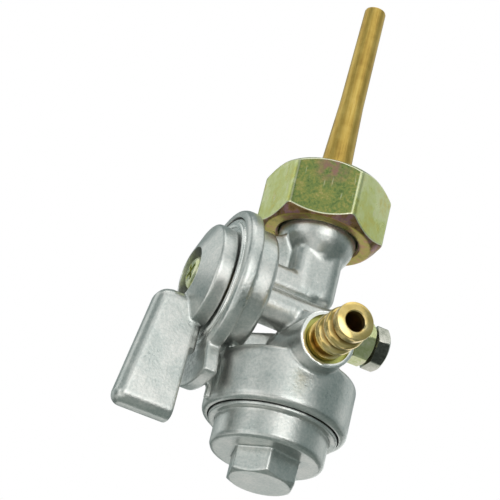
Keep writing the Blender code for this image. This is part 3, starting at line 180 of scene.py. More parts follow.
def feed(shader, **values):
    """Sets sockets of the surface shader; an underscore in a name stands for a space."""
    for name, value in values.items():
        socket = shader.inputs[name.replace("_", " ")]
        if isinstance(value, Shade):
            value.tree.links.new(value.socket, socket)
        else:
            socket.default_value = value


def only(piece):
    """Selects one piece and nothing else."""
    bpy.ops.object.select_all(action="DESELECT")
    piece.select_set(True)
    bpy.context.view_layer.objects.active = piece


def settle(piece):
    """Puts a piece's place into its mesh."""
    only(piece)
    bpy.ops.object.transform_apply(location=True, rotation=True, scale=True)


FLOOR_LEVEL = -0.62
FLOOR_SIZE = 12.0
FLOOR_DARK = (0.40, 0.43, 0.41)
FLOOR_LIGHT = (0.46, 0.49, 0.47)
SURROUND_COLOUR = (0.82, 1.0, 0.97, 1.0)
SURROUND_STRENGTH = 0.30

bpy.ops.object.select_all(action="DESELECT")
bpy.ops.mesh.primitive_plane_add(size=FLOOR_SIZE, location=(0.0, 0.0, FLOOR_LEVEL))
floor = bpy.context.active_object
floor.name = "floor"
settle(floor)
floor_paint, floor_shader, shade = new_finish("floor_paint")
cloud = shade.node("TexNoise", {"Scale": 3.0, "Detail": 2.0, "Vector": shade.object_place()})
feed(floor_shader, Base_Color=cloud.blend(FLOOR_DARK, FLOOR_LIGHT), Roughness=0.9)
white_to_camera(floor_paint.node_tree, "Emission", floor_shader.outputs[0], "Material Output")
floor.data.materials.append(floor_paint)

surround = bpy.data.worlds.new("surround")
bpy.context.scene.world = surround
surround.use_nodes = True
sky = surround.node_tree.nodes["Background"]
sky.inputs["Color"].default_value = SURROUND_COLOUR
sky.inputs["Strength"].default_value = SURROUND_STRENGTH
white_to_camera(surround.node_tree, "Background", sky.outputs[0], "World Output")

# Each soft box: direction in degrees round from the front and up, width, brightness.
BOX_DISTANCE = 0.80
BOX_HEIGHT = 0.52
BOX_COLOUR = (1.0, 0.985, 0.965)
for name, around, up, width, bright in (
    ("front_box", 0.0, 0.0, 0.50, 1.95),
    ("front_left_box", -35.0, 0.0, 0.50, 0.45),
    ("left_box", -70.0, 0.0, 0.50, 0.95),
    ("front_low_box", -25.0, -38.0, 0.52, 0.63),
    ("left_low_box", -70.0, -38.0, 0.52, 1.05),
    ("far_left_low_box", -120.0, -38.0, 0.52, 0.45),
    ("rear_low_box", 165.0, -38.0, 0.52, 0.62),
    ("rear_box", 145.0, 0.0, 0.50, 0.90),
    ("rear_left_box", -150.0, 0.0, 0.50, 0.33),
    ("right_box", 105.0, 0.0, 0.50, 0.26),
    ("left_high_box", -125.0, 32.0, 0.70, 0.60),
    ("front_high_box", -8.0, 35.0, 1.00, 0.55),
    ("right_high_box", 105.0, 35.0, 0.52, 0.45),
    ("top_left_box", -60.0, 72.0, 0.52, 0.90),
    ("top_right_box", 28.0, 64.0, 0.60, 0.80),
):
    lamp_data = bpy.data.lights.new(name, "AREA")
    lamp_data.shape = "RECTANGLE"
    lamp_data.size = width
    lamp_data.size_y = BOX_HEIGHT
    lamp_data.energy = bright * pi * width * BOX_HEIGHT
    lamp_data.color = BOX_COLOUR
    lamp = bpy.data.objects.new(name, lamp_data)
    bpy.context.scene.collection.objects.link(lamp)
    level = cos(radians(up))
    outward = Vector((sin(radians(around)) * level, -cos(radians(around)) * level, sin(radians(up))))
    lamp.location = outward * BOX_DISTANCE
    lamp.rotation_euler = outward.to_track_quat("Z", "Y").to_euler()
    lamp.visible_camera = False


# Casting
# The body is one pressure die-casting in a light alloy, tumbled after casting: finely grained, a little
# blotchy, every join run out in a small fillet. Its bores and seats are machined afterwards.
HOUSING_RADIUS = 0.0144
HOUSING_TOP = -0.037276
HOUSING_FOOT = -0.048776
HOUSING_ROUND = 0.0013
BOWL_SEAT_RADIUS = 0.0131
BOWL_SEAT_DEPTH = 0.0018
BOWL_THREAD_RADIUS = 0.0116
COLUMN_HALF = 0.0053
RISER_RADIUS = 0.0060
PIPE_SOCKET_RADIUS = 0.0036
ARM_RADIUS = 0.0039
ARM_Y = -0.004775
ARM_Z = -0.027076
BOLT_BORE_RADIUS = 0.0028
BLOCK_END = -0.0116          # where the webs and the inlet block run into the valve chamber
VALVE_Z = -0.02415
CHAMBER_RADIUS = 0.0130
CHAMBER_BORE_RADIUS = 0.0104
COVER_SEAT = 0.01694
COVER_SEAT_RADIUS = 0.0136
FLANGE_RADIUS = 0.0154
FLANGE_BACK = 0.01564
FLANGE_FACE = 0.01884
PLATE_IN, PLATE_OUT = 0.0137, 0.0218
PLATE_BACK, PLATE_FACE = 0.01574, 0.01864
PLATE_FIRST, PLATE_LAST = radians(17.0), radians(42.0)
OUTLET_Z = -0.035176
BOSS_FACE = 0.0181
SPIGOT_BORE_RADIUS = 0.0039
RECESS_RADIUS = 0.0049       # the recess round the spigot, in the boss's face
RECESS_DEPTH = 0.0012
BODY_VOXEL = 0.00033
BODY_SOFTENING = 7
ROUND = 160                  # sides of the widest turned pieces

ALLOY_DARK = (0.46, 0.50, 0.485)
ALLOY_LIGHT = (0.765, 0.750, 0.725)
ALLOY_SPARK = (0.95, 0.945, 0.92)
ALLOY_SHADE = (0.16, 0.17, 0.17)
THREAD_GUM = (0.52, 0.52, 0.16)
ROUGH_CORNER = (-0.0186, 0.0026, -0.0410)


def noise(shade, place, size, detail=3.0, roughness=0.5):
    """A cloudy value from 0 to 1; the larger its size number, the finer it is."""
    return shade.node("TexNoise", {
        "Scale": size, "Detail": detail, "Roughness": roughness, "Vector": place})


def cast_finish(name, body=False):
    """Tumbled die-cast skin. The body's has a bright turned boss face and one rough, pitted corner whose
    pits are painted darker as painted shade.
    """
    material, shader, shade = new_finish(name)
    place = shade.object_place()
    blotch = noise(shade, place, 170.0, roughness=0.6)
    grain = noise(shade, place, 1900.0, roughness=0.65)
    speck = shade.node("TexVoronoi", {"Scale": 2100.0, "Vector": place})
    tone = blotch.between(0.32, 0.68) * 0.5 + grain.between(0.28, 0.72) * 0.5
    skin = tone.blend(ALLOY_DARK, ALLOY_LIGHT)
    spark = (1.0 - speck.between(0.0, 0.24)) * grain.between(0.42, 0.62) * 0.7
    colour = spark.blend(skin, ALLOY_SPARK)
    rough = 0.20 + grain * 0.12 + blotch * 0.10
    height = grain * 0.8 + blotch * 1.6
    if body:
        pits = noise(shade, place, 1300.0, roughness=0.7)
        reach = place.away_from(ROUGH_CORNER) + pits * 0.004 + blotch * 0.004
        corner = 1.0 - reach.between(0.0045, 0.0095)
        # The pits in the rough corner are painted darker: painted shade in them, on top of their real
        # bumps.
        colour = (corner * (1.0 - pits.between(0.40, 0.64)) * 0.7).blend(colour, ALLOY_SHADE)
        height = height + corner * pits * 3.5
        turned = place.along((0.0, -1.0, 0.0)) > BOSS_FACE - 0.0002
        colour = turned.blend(colour, ALLOY_SPARK)
        recess = (0.0, RECESS_DEPTH - BOSS_FACE, OUTLET_Z)
        sealed = place.away_from(recess) < RECESS_RADIUS + 0.0001
        colour = sealed.blend(colour, THREAD_GUM)
        rough = rough - turned * 0.16
        height = height * (1.0 - turned * 0.9)
    bump = shade.node("Bump", {"Strength": 0.42, "Distance": 0.00010, "Height": height})
    feed(shader, Base_Color=colour, Metallic=0.94, Roughness=rough, Normal=bump)
    return material


cast_alloy = cast_finish("cast_alloy")
body_alloy = cast_finish("body_alloy", body=True)


def turn_on_lathe(name, rings, solid=False, sides=96):
    """A turned piece about +Z: rings of (radius, height) extruded one from another."""
    radius, height = rings[0]
    bpy.ops.object.select_all(action="DESELECT")
    fill = "NGON" if solid else "NOTHING"
    bpy.ops.mesh.primitive_circle_add(
        vertices=sides, radius=radius, fill_type=fill, location=(0.0, 0.0, height))
    piece = bpy.context.active_object
    piece.name = name
    settle(piece)
    bpy.ops.object.mode_set(mode="EDIT")
    bpy.ops.mesh.select_all(action="SELECT")
    path = rings[1:] if solid else rings[1:] + rings[:1]
    for next_radius, next_height in path:
        rise = (0.0, 0.0, next_height - height)
        bpy.ops.mesh.extrude_region_move(TRANSFORM_OT_translate={"value": rise})
        ratio = next_radius / radius
        centre = (0.0, 0.0, next_height)
        bpy.ops.transform.resize(value=(ratio, ratio, 1.0), center_override=centre)
        radius, height = next_radius, next_height
    bpy.ops.mesh.select_all(action="SELECT")
    bpy.ops.mesh.remove_doubles(threshold=0.000001)
    bpy.ops.mesh.normals_make_consistent(inside=False)
    bpy.ops.object.mode_set(mode="OBJECT")
    return piece


def block(name, low, high, rounding=0.0):
    """A box between two corners, its edges rounded."""
    bpy.ops.object.select_all(action="DESELECT")
    bpy.ops.mesh.primitive_cube_add(size=1.0, location=[(a + b) / 2 for a, b in zip(low, high)])
    piece = bpy.context.active_object
    piece.name = name
    piece.scale = [b - a for a, b in zip(low, high)]
    settle(piece)
    if rounding > 0.0:
        ease(piece, rounding, segments=5)
    return piece


def saw_off(piece, point, outward):
    """Takes off what lies beyond a plane and closes the cut."""
    only(piece)
    bpy.ops.object.mode_set(mode="EDIT")
    bpy.ops.mesh.select_all(action="SELECT")
    bpy.ops.mesh.bisect(plane_co=point, plane_no=outward, use_fill=True, clear_outer=True)
    bpy.ops.object.mode_set(mode="OBJECT")


def ease(piece, width, angle=30.0, segments=2):
    """Rounds a piece's edges."""
    only(piece)
    bevel = piece.modifiers.new("ease", "BEVEL")
    bevel.width = width
    bevel.segments = segments
    bevel.limit_method = "ANGLE"
    bevel.angle_limit = radians(angle)
    bpy.ops.object.modifier_apply(modifier="ease")


def carve(piece, tool, operation="DIFFERENCE"):
    """Cuts a piece with another, which is used up."""
    only(piece)
    cut = piece.modifiers.new("cut", "BOOLEAN")
    cut.operation = operation
    cut.solver = "EXACT"
    cut.object = tool
    bpy.ops.object.modifier_apply(modifier="cut")
    bpy.data.objects.remove(tool, do_unlink=True)


def stand(piece, place):
    """Turns and moves a finished shape to its place on the tap, and puts that into its mesh."""
    piece.matrix_world = place
    settle(piece)
    return piece


def fuse(name, shapes, voxel, passes):
    """Casts several shapes as one: joined, remeshed as a single skin and softened into small fillets."""
    bpy.ops.object.select_all(action="DESELECT")
    for shape in shapes:
        shape.select_set(True)
    piece = shapes[0]
    bpy.context.view_layer.objects.active = piece
    bpy.ops.object.join()
    piece.name = name
    piece.data.remesh_voxel_size = voxel
    bpy.ops.object.voxel_remesh()
    soften = piece.modifiers.new("soften", "SMOOTH")
    soften.factor = 0.5
    soften.iterations = passes
    bpy.ops.object.modifier_apply(modifier="soften")
    return piece


def dress(piece, material, body, slot, *nodes, cast=False):
    """Gives a piece its finish and shading, and ties it to the tap."""
    only(piece)
    sharp_from = 60.0 if cast else 38.0
    bpy.ops.object.shade_smooth_by_angle(angle=radians(sharp_from))
    if not cast:
        flats = piece.modifiers.new("flats", "WEIGHTED_NORMAL")
        flats.keep_sharp = True
        bpy.ops.object.modifier_apply(modifier="flats")
    piece.data.materials.clear()
    piece.data.materials.append(material)
    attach(piece, body)
    if nodes:
        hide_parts(*nodes)


along_x = Matrix.Translation((0.0, ARM_Y, ARM_Z)) @ Matrix.Rotation(pi / 2, 4, "Y")
along_spigot = Matrix.Translation((0.0, 0.0, OUTLET_Z)) @ Matrix.Rotation(pi / 2, 4, "X")
along_valve = Matrix.Translation((0.0, 0.0, VALVE_Z)) @ Matrix.Rotation(-pi / 2, 4, "Y")

housing = turn_on_lathe("housing", [
    (HOUSING_RADIUS, HOUSING_FOOT), (HOUSING_RADIUS, HOUSING_TOP)], solid=True, sides=ROUND)
ease(housing, HOUSING_ROUND, segments=5)
boss = turn_on_lathe("boss", [(0.0062, -0.0039), (0.0057, BOSS_FACE)], solid=True)
stand(boss, along_spigot)
riser = turn_on_lathe("riser", [(RISER_RADIUS, HOUSING_TOP - 0.0016), (RISER_RADIUS, ARM_Z)], solid=True)
stand(riser, Matrix.Translation((0.0015, ARM_Y, 0.0)))
arm = turn_on_lathe("arm", [(ARM_RADIUS, BLOCK_END), (ARM_RADIUS, 0.0077)], solid=True)
stand(arm, along_x)
bolt_boss = turn_on_lathe("bolt_boss", [
    (ARM_RADIUS, 0.0036), (0.0047, 0.0052), (0.0047, 0.0081), (0.0045, 0.0083)], solid=True)
stand(bolt_boss, along_x)
inlet_block = block("inlet_block", (BLOCK_END, -0.0052, -0.02305), (0.0017, 0.0052, -0.01715), 0.0018)
column = block(
    "column", (-COLUMN_HALF, -COLUMN_HALF, -0.02315), (COLUMN_HALF, COLUMN_HALF, -0.0068), 0.0028)
neck = turn_on_lathe("neck", [
    (0.0050, -0.0150), (0.0053, -0.0135), (0.0058, -0.0122), (0.0065, -0.0111), (0.0071, -0.0101),
    (0.0076, -0.0089), (0.0079, -0.0073), (0.0079, -0.0045), (0.0088, -0.0045), (0.0088, -0.0026),
    (0.0085, -0.0023),
], solid=True, sides=128)
neck_web = block("neck_web", (BLOCK_END, -0.0020, -0.01855), (0.0, 0.0020, -0.0093))
saw_off(neck_web, (-0.0073, 0.0, -0.0093), (-0.495, 0.0, 0.869))
foot_web = block("foot_web", (BLOCK_END, -0.0018, -0.0395), (0.0, 0.0018, -0.0280))
saw_off(foot_web, (0.0, 0.0, -0.02875), (-0.342, 0.0, 0.940))
chamber = turn_on_lathe("chamber", [
    (0.0124, 0.0110), (CHAMBER_RADIUS, 0.0116), (CHAMBER_RADIUS, FLANGE_BACK), (0.0151, FLANGE_BACK),
    (FLANGE_RADIUS, 0.0159), (FLANGE_RADIUS, 0.01774), (0.01508, 0.01852), (0.0143, FLANGE_FACE),
], solid=True, sides=ROUND)
stand(chamber, along_valve)
position_plate = turn_on_lathe("position_plate", [
    (PLATE_IN, PLATE_BACK), (PLATE_OUT, PLATE_BACK), (PLATE_OUT, PLATE_FACE), (PLATE_IN, PLATE_FACE),
], sides=ROUND)
saw_off(position_plate, (0.0, 0.0, 0.0), (sin(PLATE_FIRST), -cos(PLATE_FIRST), 0.0))
saw_off(position_plate, (0.0, 0.0, 0.0), (sin(PLATE_LAST), cos(PLATE_LAST), 0.0))
ease(position_plate, 0.0004, 60.0)
stand(position_plate, along_valve)
flash_rib = block("flash_rib", (-0.0151, -0.0007, -0.0478), (-0.0138, 0.0007, -0.0389))

cast_body = fuse("cast_body", [
    housing, boss, riser, arm, bolt_boss, inlet_block, column, neck, neck_web, foot_web, chamber,
    position_plate, flash_rib,
], BODY_VOXEL, BODY_SOFTENING)

valve_cavity = turn_on_lathe("valve_cavity", [
    (CHAMBER_BORE_RADIUS, 0.0126), (CHAMBER_BORE_RADIUS, COVER_SEAT), (COVER_SEAT_RADIUS, COVER_SEAT),
    (COVER_SEAT_RADIUS, 0.0200),
], solid=True, sides=ROUND)
carve(cast_body, stand(valve_cavity, along_valve))
seat_top = HOUSING_FOOT + BOWL_SEAT_DEPTH
cavity_top = HOUSING_TOP - 0.0042
carve(cast_body, turn_on_lathe("bowl_cavity", [
    (BOWL_SEAT_RADIUS, HOUSING_FOOT - 0.001), (BOWL_SEAT_RADIUS, seat_top), (BOWL_THREAD_RADIUS, seat_top),
    (BOWL_THREAD_RADIUS, cavity_top), (0.0049, cavity_top), (0.0049, HOUSING_TOP - 0.0025),
], solid=True, sides=ROUND))
carve(cast_body, turn_on_lathe("pipe_socket", [
    (PIPE_SOCKET_RADIUS, -0.0113), (PIPE_SOCKET_RADIUS, -0.0010)], solid=True))
recess_floor = BOSS_FACE - RECESS_DEPTH
spigot_bore = turn_on_lathe("spigot_bore", [
    (SPIGOT_BORE_RADIUS, 0.0111), (SPIGOT_BORE_RADIUS, recess_floor), (RECESS_RADIUS, recess_floor),
    (RECESS_RADIUS, BOSS_FACE + 0.001),
], solid=True)
carve(cast_body, stand(spigot_bore, along_spigot))
bolt_bore = turn_on_lathe("bolt_bore", [
    (BOLT_BORE_RADIUS, 0.0061), (BOLT_BORE_RADIUS, 0.0093)], solid=True)
carve(cast_body, stand(bolt_bore, along_x))
dress(cast_body, body_alloy, "tap_body", "cast_alloy", "body", cast=True)


# Tank joint
# A captive steel nut, yellow passivated over zinc, that turns under the neck's flange and screws onto
# the tank's spigot. Its thread is cut inside, and a rubber ring on the neck makes the joint tight.
NUT_FLATS = 0.023
NUT_TURN = radians(5.5)
NUT_CORE = 0.0092
NUT_ROOT = 0.0100
NUT_HOLE = 0.0082
NUT_SHOULDER = 0.0022
NUT_SLOPE = 38.0
NUT_VOXEL = 0.00021
NUT_SOFTENING = 9
THREAD_PITCH = 0.0015
THREAD_TURNS = 5
SEAL_HOLE = 0.0036
SEAL_EDGE = 0.0003

NUT_FRONT = (-0.4147, -0.9100, 0.0)   # which way the front face looks, whose film is painted darker as painted shade
ROSE_SPOT = (-0.0042, -0.0107, 0.0038)
ROSE = (0.33, 0.17, 0.15)
SCRATCH_COLOUR = (0.74, 0.72, 0.50)
WORN_EDGE_HIGHLIGHT = (0.90, 0.88, 0.70)
PAINTED_SHADE = (0.07, 0.07, 0.06)
RUBBER_BLACK = (0.012, 0.012, 0.013)
RUBBER_DUSTY = (0.05, 0.05, 0.052)


def passivated(name, size, stops, polish=0.20, shaded_side=None):
    """Passivated zinc: a clouded film. One facet, given by a side, is painted nearly black as a painted
    dark reflection.
    """
    material, shader, shade = new_finish(name)
    place = shade.object_place()
    cloud = noise(shade, place, size, 4.0, 0.6)
    fine = noise(shade, place, size * 9.0, 3.0, 0.6)
    colour = (cloud * 0.7 + fine * 0.3).ramp(stops)
    # The facet that looks to the given side is painted nearly black: a painted dark reflection, not film
    # colour.
    if shaded_side:
        facet = shade.object_normal().along(shaded_side).between(0.90, 0.97)
        colour = (facet * (1.0 - fine * 0.35)).blend(colour, PAINTED_SHADE)
    bump = shade.node("Bump", {"Strength": 0.25, "Distance": 0.00008, "Height": fine})
    feed(shader, Base_Color=colour, Metallic=0.90, Roughness=polish + fine * 0.16, Normal=bump)
    return material


yellow_zinc, shader, shade = new_finish("yellow_zinc")
place = shade.object_place()
facing = shade.object_normal()
cloud = noise(shade, place, 140.0, 4.0, 0.6)
mottle = noise(shade, place, 620.0, 3.0, 0.65)
fine = noise(shade, place, 1900.0, 2.0, 0.6)
scratch = noise(shade, place.stretched((1500.0, 1500.0, 210.0)), 1.0, 1.0)
side_film = (cloud * 0.7 + mottle * 0.3).ramp([
    (0.34, (0.58, 0.54, 0.12)), (0.46, (0.62, 0.67, 0.25)),
    (0.56, (0.74, 0.78, 0.42)), (0.68, (0.70, 0.62, 0.20)),
])
# The front face's film: an olive passivation, painted much darker with a painted dark reflection.
shaded_front_film = (mottle * 0.3 + fine * 0.45 + cloud * 0.25).ramp([
    (0.36, (0.12, 0.18, 0.06)), (0.46, (0.21, 0.27, 0.085)),
    (0.54, (0.30, 0.31, 0.09)), (0.63, (0.46, 0.39, 0.15)),
])
chamfer_film = (cloud * 0.6 + mottle * 0.4).ramp([
    (0.38, (0.13, 0.085, 0.035)), (0.48, (0.34, 0.20, 0.08)),
    (0.55, (0.42, 0.22, 0.25)), (0.64, (0.55, 0.42, 0.16)),
])
foot_film = (cloud * 0.6 + mottle * 0.4).ramp([
    (0.36, (0.30, 0.26, 0.06)), (0.48, (0.46, 0.38, 0.09)),
    (0.57, (0.50, 0.27, 0.15)), (0.66, (0.56, 0.52, 0.18)),
])
to_front = facing.along(NUT_FRONT)
colour = to_front.between(0.95, 0.99).blend(side_film, shaded_front_film)
rose = 1.0 - place.away_from(ROSE_SPOT).between(0.0010, 0.0046)
colour = (rose * (mottle + cloud).between(0.74, 1.10) * 0.9).blend(colour, ROSE)
colour = (scratch.between(0.68, 0.76) * 0.45).blend(colour, SCRATCH_COLOUR)
under = facing.along((0.0, 0.0, -1.0))
colour = under.between(0.45, 0.65).blend(colour, chamfer_film)
colour = under.between(0.86, 0.95).blend(colour, foot_film)
steep = under * under
# Edges are lightened, partly real wear of the film and partly a painted highlight where the edges catch
# the light.
chamfer_edge = steep.between(0.02, 0.08) * (1.0 - steep.between(0.25, 0.42))
upright_edge = to_front.between(0.88, 0.93) * (1.0 - to_front.between(0.975, 0.995))
edge_wear_and_highlight = chamfer_edge + upright_edge * (1.0 - steep.between(0.02, 0.20)) * 0.5
colour = (edge_wear_and_highlight * 0.75).blend(colour, WORN_EDGE_HIGHLIGHT)
bump = shade.node("Bump", {"Strength": 0.30, "Distance": 0.00008, "Height": fine + mottle * 2.0})
feed(shader, Base_Color=colour, Metallic=0.90, Roughness=0.20 + mottle * 0.22, Normal=bump)


def hexagon(name, flats, foot, top, turn=0.0, chamfer_start=0.955, slope=30.0, both=True):
    """A hexagon bar about +Z, its long edges rounded, whose corners are chamfered on a lathe.

    The chamfer starts at that share of the radius inside the flats, on both ends or on the top only.
    """
    rounding = flats * 0.035
    bpy.ops.object.select_all(action="DESELECT")
    corner = flats / sqrt(3)
    middle = (0.0, 0.0, (foot + top) / 2)
    length = top - foot + rounding * 4
    bpy.ops.mesh.primitive_cylinder_add(vertices=6, radius=corner, depth=length, location=middle)
    piece = bpy.context.active_object
    piece.name = name
    piece.rotation_euler = (0.0, 0.0, turn)
    settle(piece)
    ease(piece, rounding, segments=4)
    start = flats / 2 * chamfer_start
    reach = corner * 1.04
    drop = (reach - start) * sin(radians(slope)) / cos(radians(slope))
    rings = [(start, foot), (reach, foot + drop)] if both else [(reach, foot)]
    rings += [(reach, top - drop), (start, top)]
    carve(piece, turn_on_lathe(name + "_blank", rings, solid=True, sides=120), "INTERSECT")
    return piece


nut_low, nut_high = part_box("union_nut")
nut_foot, nut_top = nut_low.z, nut_high.z
shoulder = nut_foot + NUT_SHOULDER
tank_nut = hexagon("tank_nut", NUT_FLATS, nut_foot, nut_top, NUT_TURN, slope=NUT_SLOPE)
carve(tank_nut, turn_on_lathe("nut_bore", [
    (NUT_HOLE + 0.0016, nut_foot - 0.0010), (NUT_HOLE, nut_foot + 0.0006), (NUT_HOLE, shoulder),
    (NUT_ROOT, shoulder), (NUT_ROOT, nut_top - 0.0008), (NUT_ROOT + 0.0018, nut_top + 0.0010),
], solid=True))
tank_nut = fuse("tank_nut", [tank_nut], NUT_VOXEL, NUT_SOFTENING)
dress(tank_nut, yellow_zinc, "union_nut", "yellow_zinc", "union_nut", cast=True)

bpy.ops.object.select_all(action="DESELECT")
bpy.ops.mesh.primitive_circle_add(
    vertices=4, radius=NUT_ROOT - NUT_CORE, location=(NUT_ROOT, 0.0, shoulder + 0.0012),
    rotation=(pi / 2, 0.0, 0.0))
thread = bpy.context.active_object
thread.name = "nut_thread"
settle(thread)
turns = thread.modifiers.new("turns", "SCREW")
turns.screw_offset = THREAD_PITCH
turns.iterations = THREAD_TURNS
turns.steps = 48
turns.render_steps = 48
turns.use_normal_calculate = True
bpy.ops.object.modifier_apply(modifier="turns")
bpy.ops.object.mode_set(mode="EDIT")
bpy.ops.mesh.select_all(action="SELECT")
bpy.ops.mesh.fill_holes(sides=4)
bpy.ops.mesh.normals_make_consistent(inside=False)
bpy.ops.object.mode_set(mode="OBJECT")
dress(thread, yellow_zinc, "union_nut", "yellow_zinc")

black_rubber, shader, shade = new_finish("black_rubber")
place = shade.object_place()
dust = noise(shade, place, 900.0)
bump = shade.node("Bump", {"Strength": 0.3, "Distance": 0.00006, "Height": dust})
feed(shader, Base_Color=dust.blend(RUBBER_BLACK, RUBBER_DUSTY), Roughness=0.55 + dust * 0.3, Normal=bump)


def refinish(material, *nodes):
    """Gives inner solids, kept as they are, a better material."""
    for node in nodes:
        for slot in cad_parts[node].material_slots:
            slot.material = material


refinish(black_rubber, "valve_gasket", "stem_seal")

seal_low, seal_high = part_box("tank_seal")
seal_foot, seal_top, seal_radius = seal_low.z, seal_high.z, seal_high.x
tank_seal = turn_on_lathe("neck_seal", [
    (SEAL_HOLE, seal_foot), (seal_radius - SEAL_EDGE, seal_foot), (seal_radius, seal_foot + SEAL_EDGE),
    (seal_radius, seal_top - SEAL_EDGE), (seal_radius - SEAL_EDGE, seal_top), (SEAL_HOLE, seal_top),
])
dress(tank_seal, black_rubber, "tap_body", "black_rubber", "tank_seal")


# Standpipe
# A drawn and tapered brass pipe, dull with storage, pressed into the neck and open at its tip.
PIPE_LEAN = radians(1.0)
PIPE_PIVOT = Vector((0.0, 0.0, -0.0023))   # where the lean starts, at the neck's upper end
standpipe = turn_on_lathe("brass_standpipe", [
    (0.00330, -0.0110), (0.00330, 0.0080), (0.00254, 0.0255), (0.00227, 0.0494), (0.00216, 0.0497),
    (0.00158, 0.0497), (0.00147, 0.0494), (0.00174, 0.0255), (0.00250, 0.0080), (0.00250, -0.0110),
], sides=64)
lean = Matrix.Rotation(PIPE_LEAN, 4, "Y")
stand(standpipe, Matrix.Translation(PIPE_PIVOT) @ lean @ Matrix.Translation(-PIPE_PIVOT))

drawn_brass, shader, shade = new_finish("drawn_brass")
place = shade.object_place()
draw_marks = noise(shade, place.stretched((2600.0, 2600.0, 60.0)), 1.0)
tarnish = noise(shade, place, 210.0, 4.0, 0.6)
colour = (tarnish * 0.6 + draw_marks * 0.4).ramp([
    (0.30, (0.38, 0.22, 0.05)), (0.48, (0.62, 0.41, 0.095)),
    (0.62, (0.74, 0.53, 0.15)), (0.80, (0.52, 0.30, 0.09)),
])
bump = shade.node("Bump", {"Strength": 0.2, "Distance": 0.00005, "Height": draw_marks})
feed(shader, Base_Color=colour, Metallic=0.85, Roughness=0.28 + tarnish * 0.2, Normal=bump)
dress(standpipe, drawn_brass, "tap_body", "brass", "standpipe")


# Hose spigot
# Turned from brass bar with two rounded ridges that grip the hose, then pressed into the boss.
BORE = 0.0020
SHANK = 0.0036
SHANK_FOOT = 0.0112
COLLAR = 0.0040
COLLAR_FOOT = 0.0172
TIP = 0.0038
TIP_LENGTH = 0.0020
RIDGE_LENGTH = 0.0029
RIDGE_PITCH = 0.0037
RIDGE_STEPS = 10
GROOVE = 0.0032
RIDGE = 0.0042
GROOVE_SHADE = (0.26, 0.14, 0.03)

spigot_tip = -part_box("hose_spigot")[0].y
tip_foot = spigot_tip - TIP_LENGTH
rings = [
    (BORE, SHANK_FOOT), (SHANK, SHANK_FOOT), (SHANK, COLLAR_FOOT), (COLLAR, COLLAR_FOOT),
    (COLLAR, COLLAR_FOOT + 0.0010), (GROOVE, COLLAR_FOOT + 0.0012),
]
last_ridge_end = tip_foot - 0.0011
for ridge in (1, 0):
    ridge_foot = last_ridge_end - ridge * RIDGE_PITCH - RIDGE_LENGTH
    for step in range(RIDGE_STEPS + 1):
        share = step / RIDGE_STEPS
        bulge = sqrt(max(0.0, 1.0 - (2 * share - 1) ** 2))
        rings.append((GROOVE + (RIDGE - GROOVE) * bulge, ridge_foot + RIDGE_LENGTH * share))
rings += [
    (GROOVE, tip_foot - 0.0004), (TIP - 0.0001, tip_foot), (TIP, spigot_tip - 0.0008),
    (TIP, spigot_tip - 0.00030), (TIP - 0.00005, spigot_tip - 0.00010), (SHANK, spigot_tip),
    (BORE + 0.0002, spigot_tip), (BORE, spigot_tip - 0.0002),
]
hose_spigot = turn_on_lathe("turned_spigot", rings)
stand(hose_spigot, along_spigot)

turned_brass, shader, shade = new_finish("turned_brass")
place = shade.object_place()
lathe_marks = noise(shade, place.stretched((90.0, 5200.0, 90.0)), 1.0, 2.0)
cloud = noise(shade, place, 260.0)
colour = (cloud * 0.6 + lathe_marks * 0.4).ramp([
    (0.30, (0.54, 0.36, 0.085)), (0.50, (0.84, 0.62, 0.24)), (0.70, (0.98, 0.83, 0.47)),
])
# The grooves between the ridges, behind the tip, are painted darker: painted shade in the grooves.
from_axis = place.stretched((1.0, 0.0, 1.0)).away_from((0.0, 0.0, OUTLET_Z))
groove_shade = 1.0 - from_axis.between(GROOVE + 0.0001, RIDGE - 0.0003)
behind_tip = place.along((0.0, -1.0, 0.0)) < tip_foot + 0.0006
colour = (groove_shade * behind_tip * 0.75).blend(colour, GROOVE_SHADE)
bump = shade.node("Bump", {"Strength": 0.25, "Distance": 0.00004, "Height": lathe_marks})
feed(shader, Base_Color=colour, Metallic=0.92, Roughness=0.12 + cloud * 0.14, Normal=bump)
dress(hose_spigot, turned_brass, "tap_body", "brass", "hose_spigot")


# Side bolt
# A plated hexagon bolt with a lock nut and a washer, screwed into the small boss on the +X side.
BOLT_FLATS = 0.0080
BOLT_RADIUS = 0.0025
BOLT_END = 0.0006            # chamfer of the bolt's tip
BOLT_SLOPE = 32.0
HEAD_CHAMFER = 0.90
LOCK_NUT_CHAMFER = 0.92
BOLT_HOLE = BOLT_RADIUS + 0.0003
# Side of the bolt head whose facet gets a painted dark reflection, nearly black.
SHADED_FACET = (0.0, -0.866, -0.5)
bolt_low, bolt_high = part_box("side_bolt")
side_nut_low, side_nut_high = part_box("side_nut")
head_start = side_nut_high.x + 0.0003
pale_zinc = passivated("pale_zinc", 300.0, [
    (0.32, (0.26, 0.27, 0.22)), (0.48, (0.58, 0.57, 0.49)),
    (0.60, (0.78, 0.74, 0.67)), (0.72, (0.60, 0.49, 0.46)),
], 0.07, SHADED_FACET)
lime_zinc = passivated("lime_zinc", 260.0, [
    (0.32, (0.46, 0.48, 0.18)), (0.48, (0.68, 0.72, 0.38)),
    (0.60, (0.82, 0.80, 0.56)), (0.72, (0.60, 0.46, 0.30)),
], 0.14)

bolt_head = hexagon(
    "side_bolt_head", BOLT_FLATS, head_start, bolt_high.x, chamfer_start=HEAD_CHAMFER,
    slope=BOLT_SLOPE, both=False)
shank = turn_on_lathe("shank", [
    (BOLT_RADIUS - BOLT_END, bolt_low.x), (BOLT_RADIUS, bolt_low.x + BOLT_END),
    (BOLT_RADIUS, head_start + 0.0006),
], solid=True, sides=48)
carve(bolt_head, shank, "UNION")
ease(bolt_head, 0.00016)
stand(bolt_head, along_x)
dress(bolt_head, pale_zinc, "tap_body", "bright_zinc", "side_bolt")

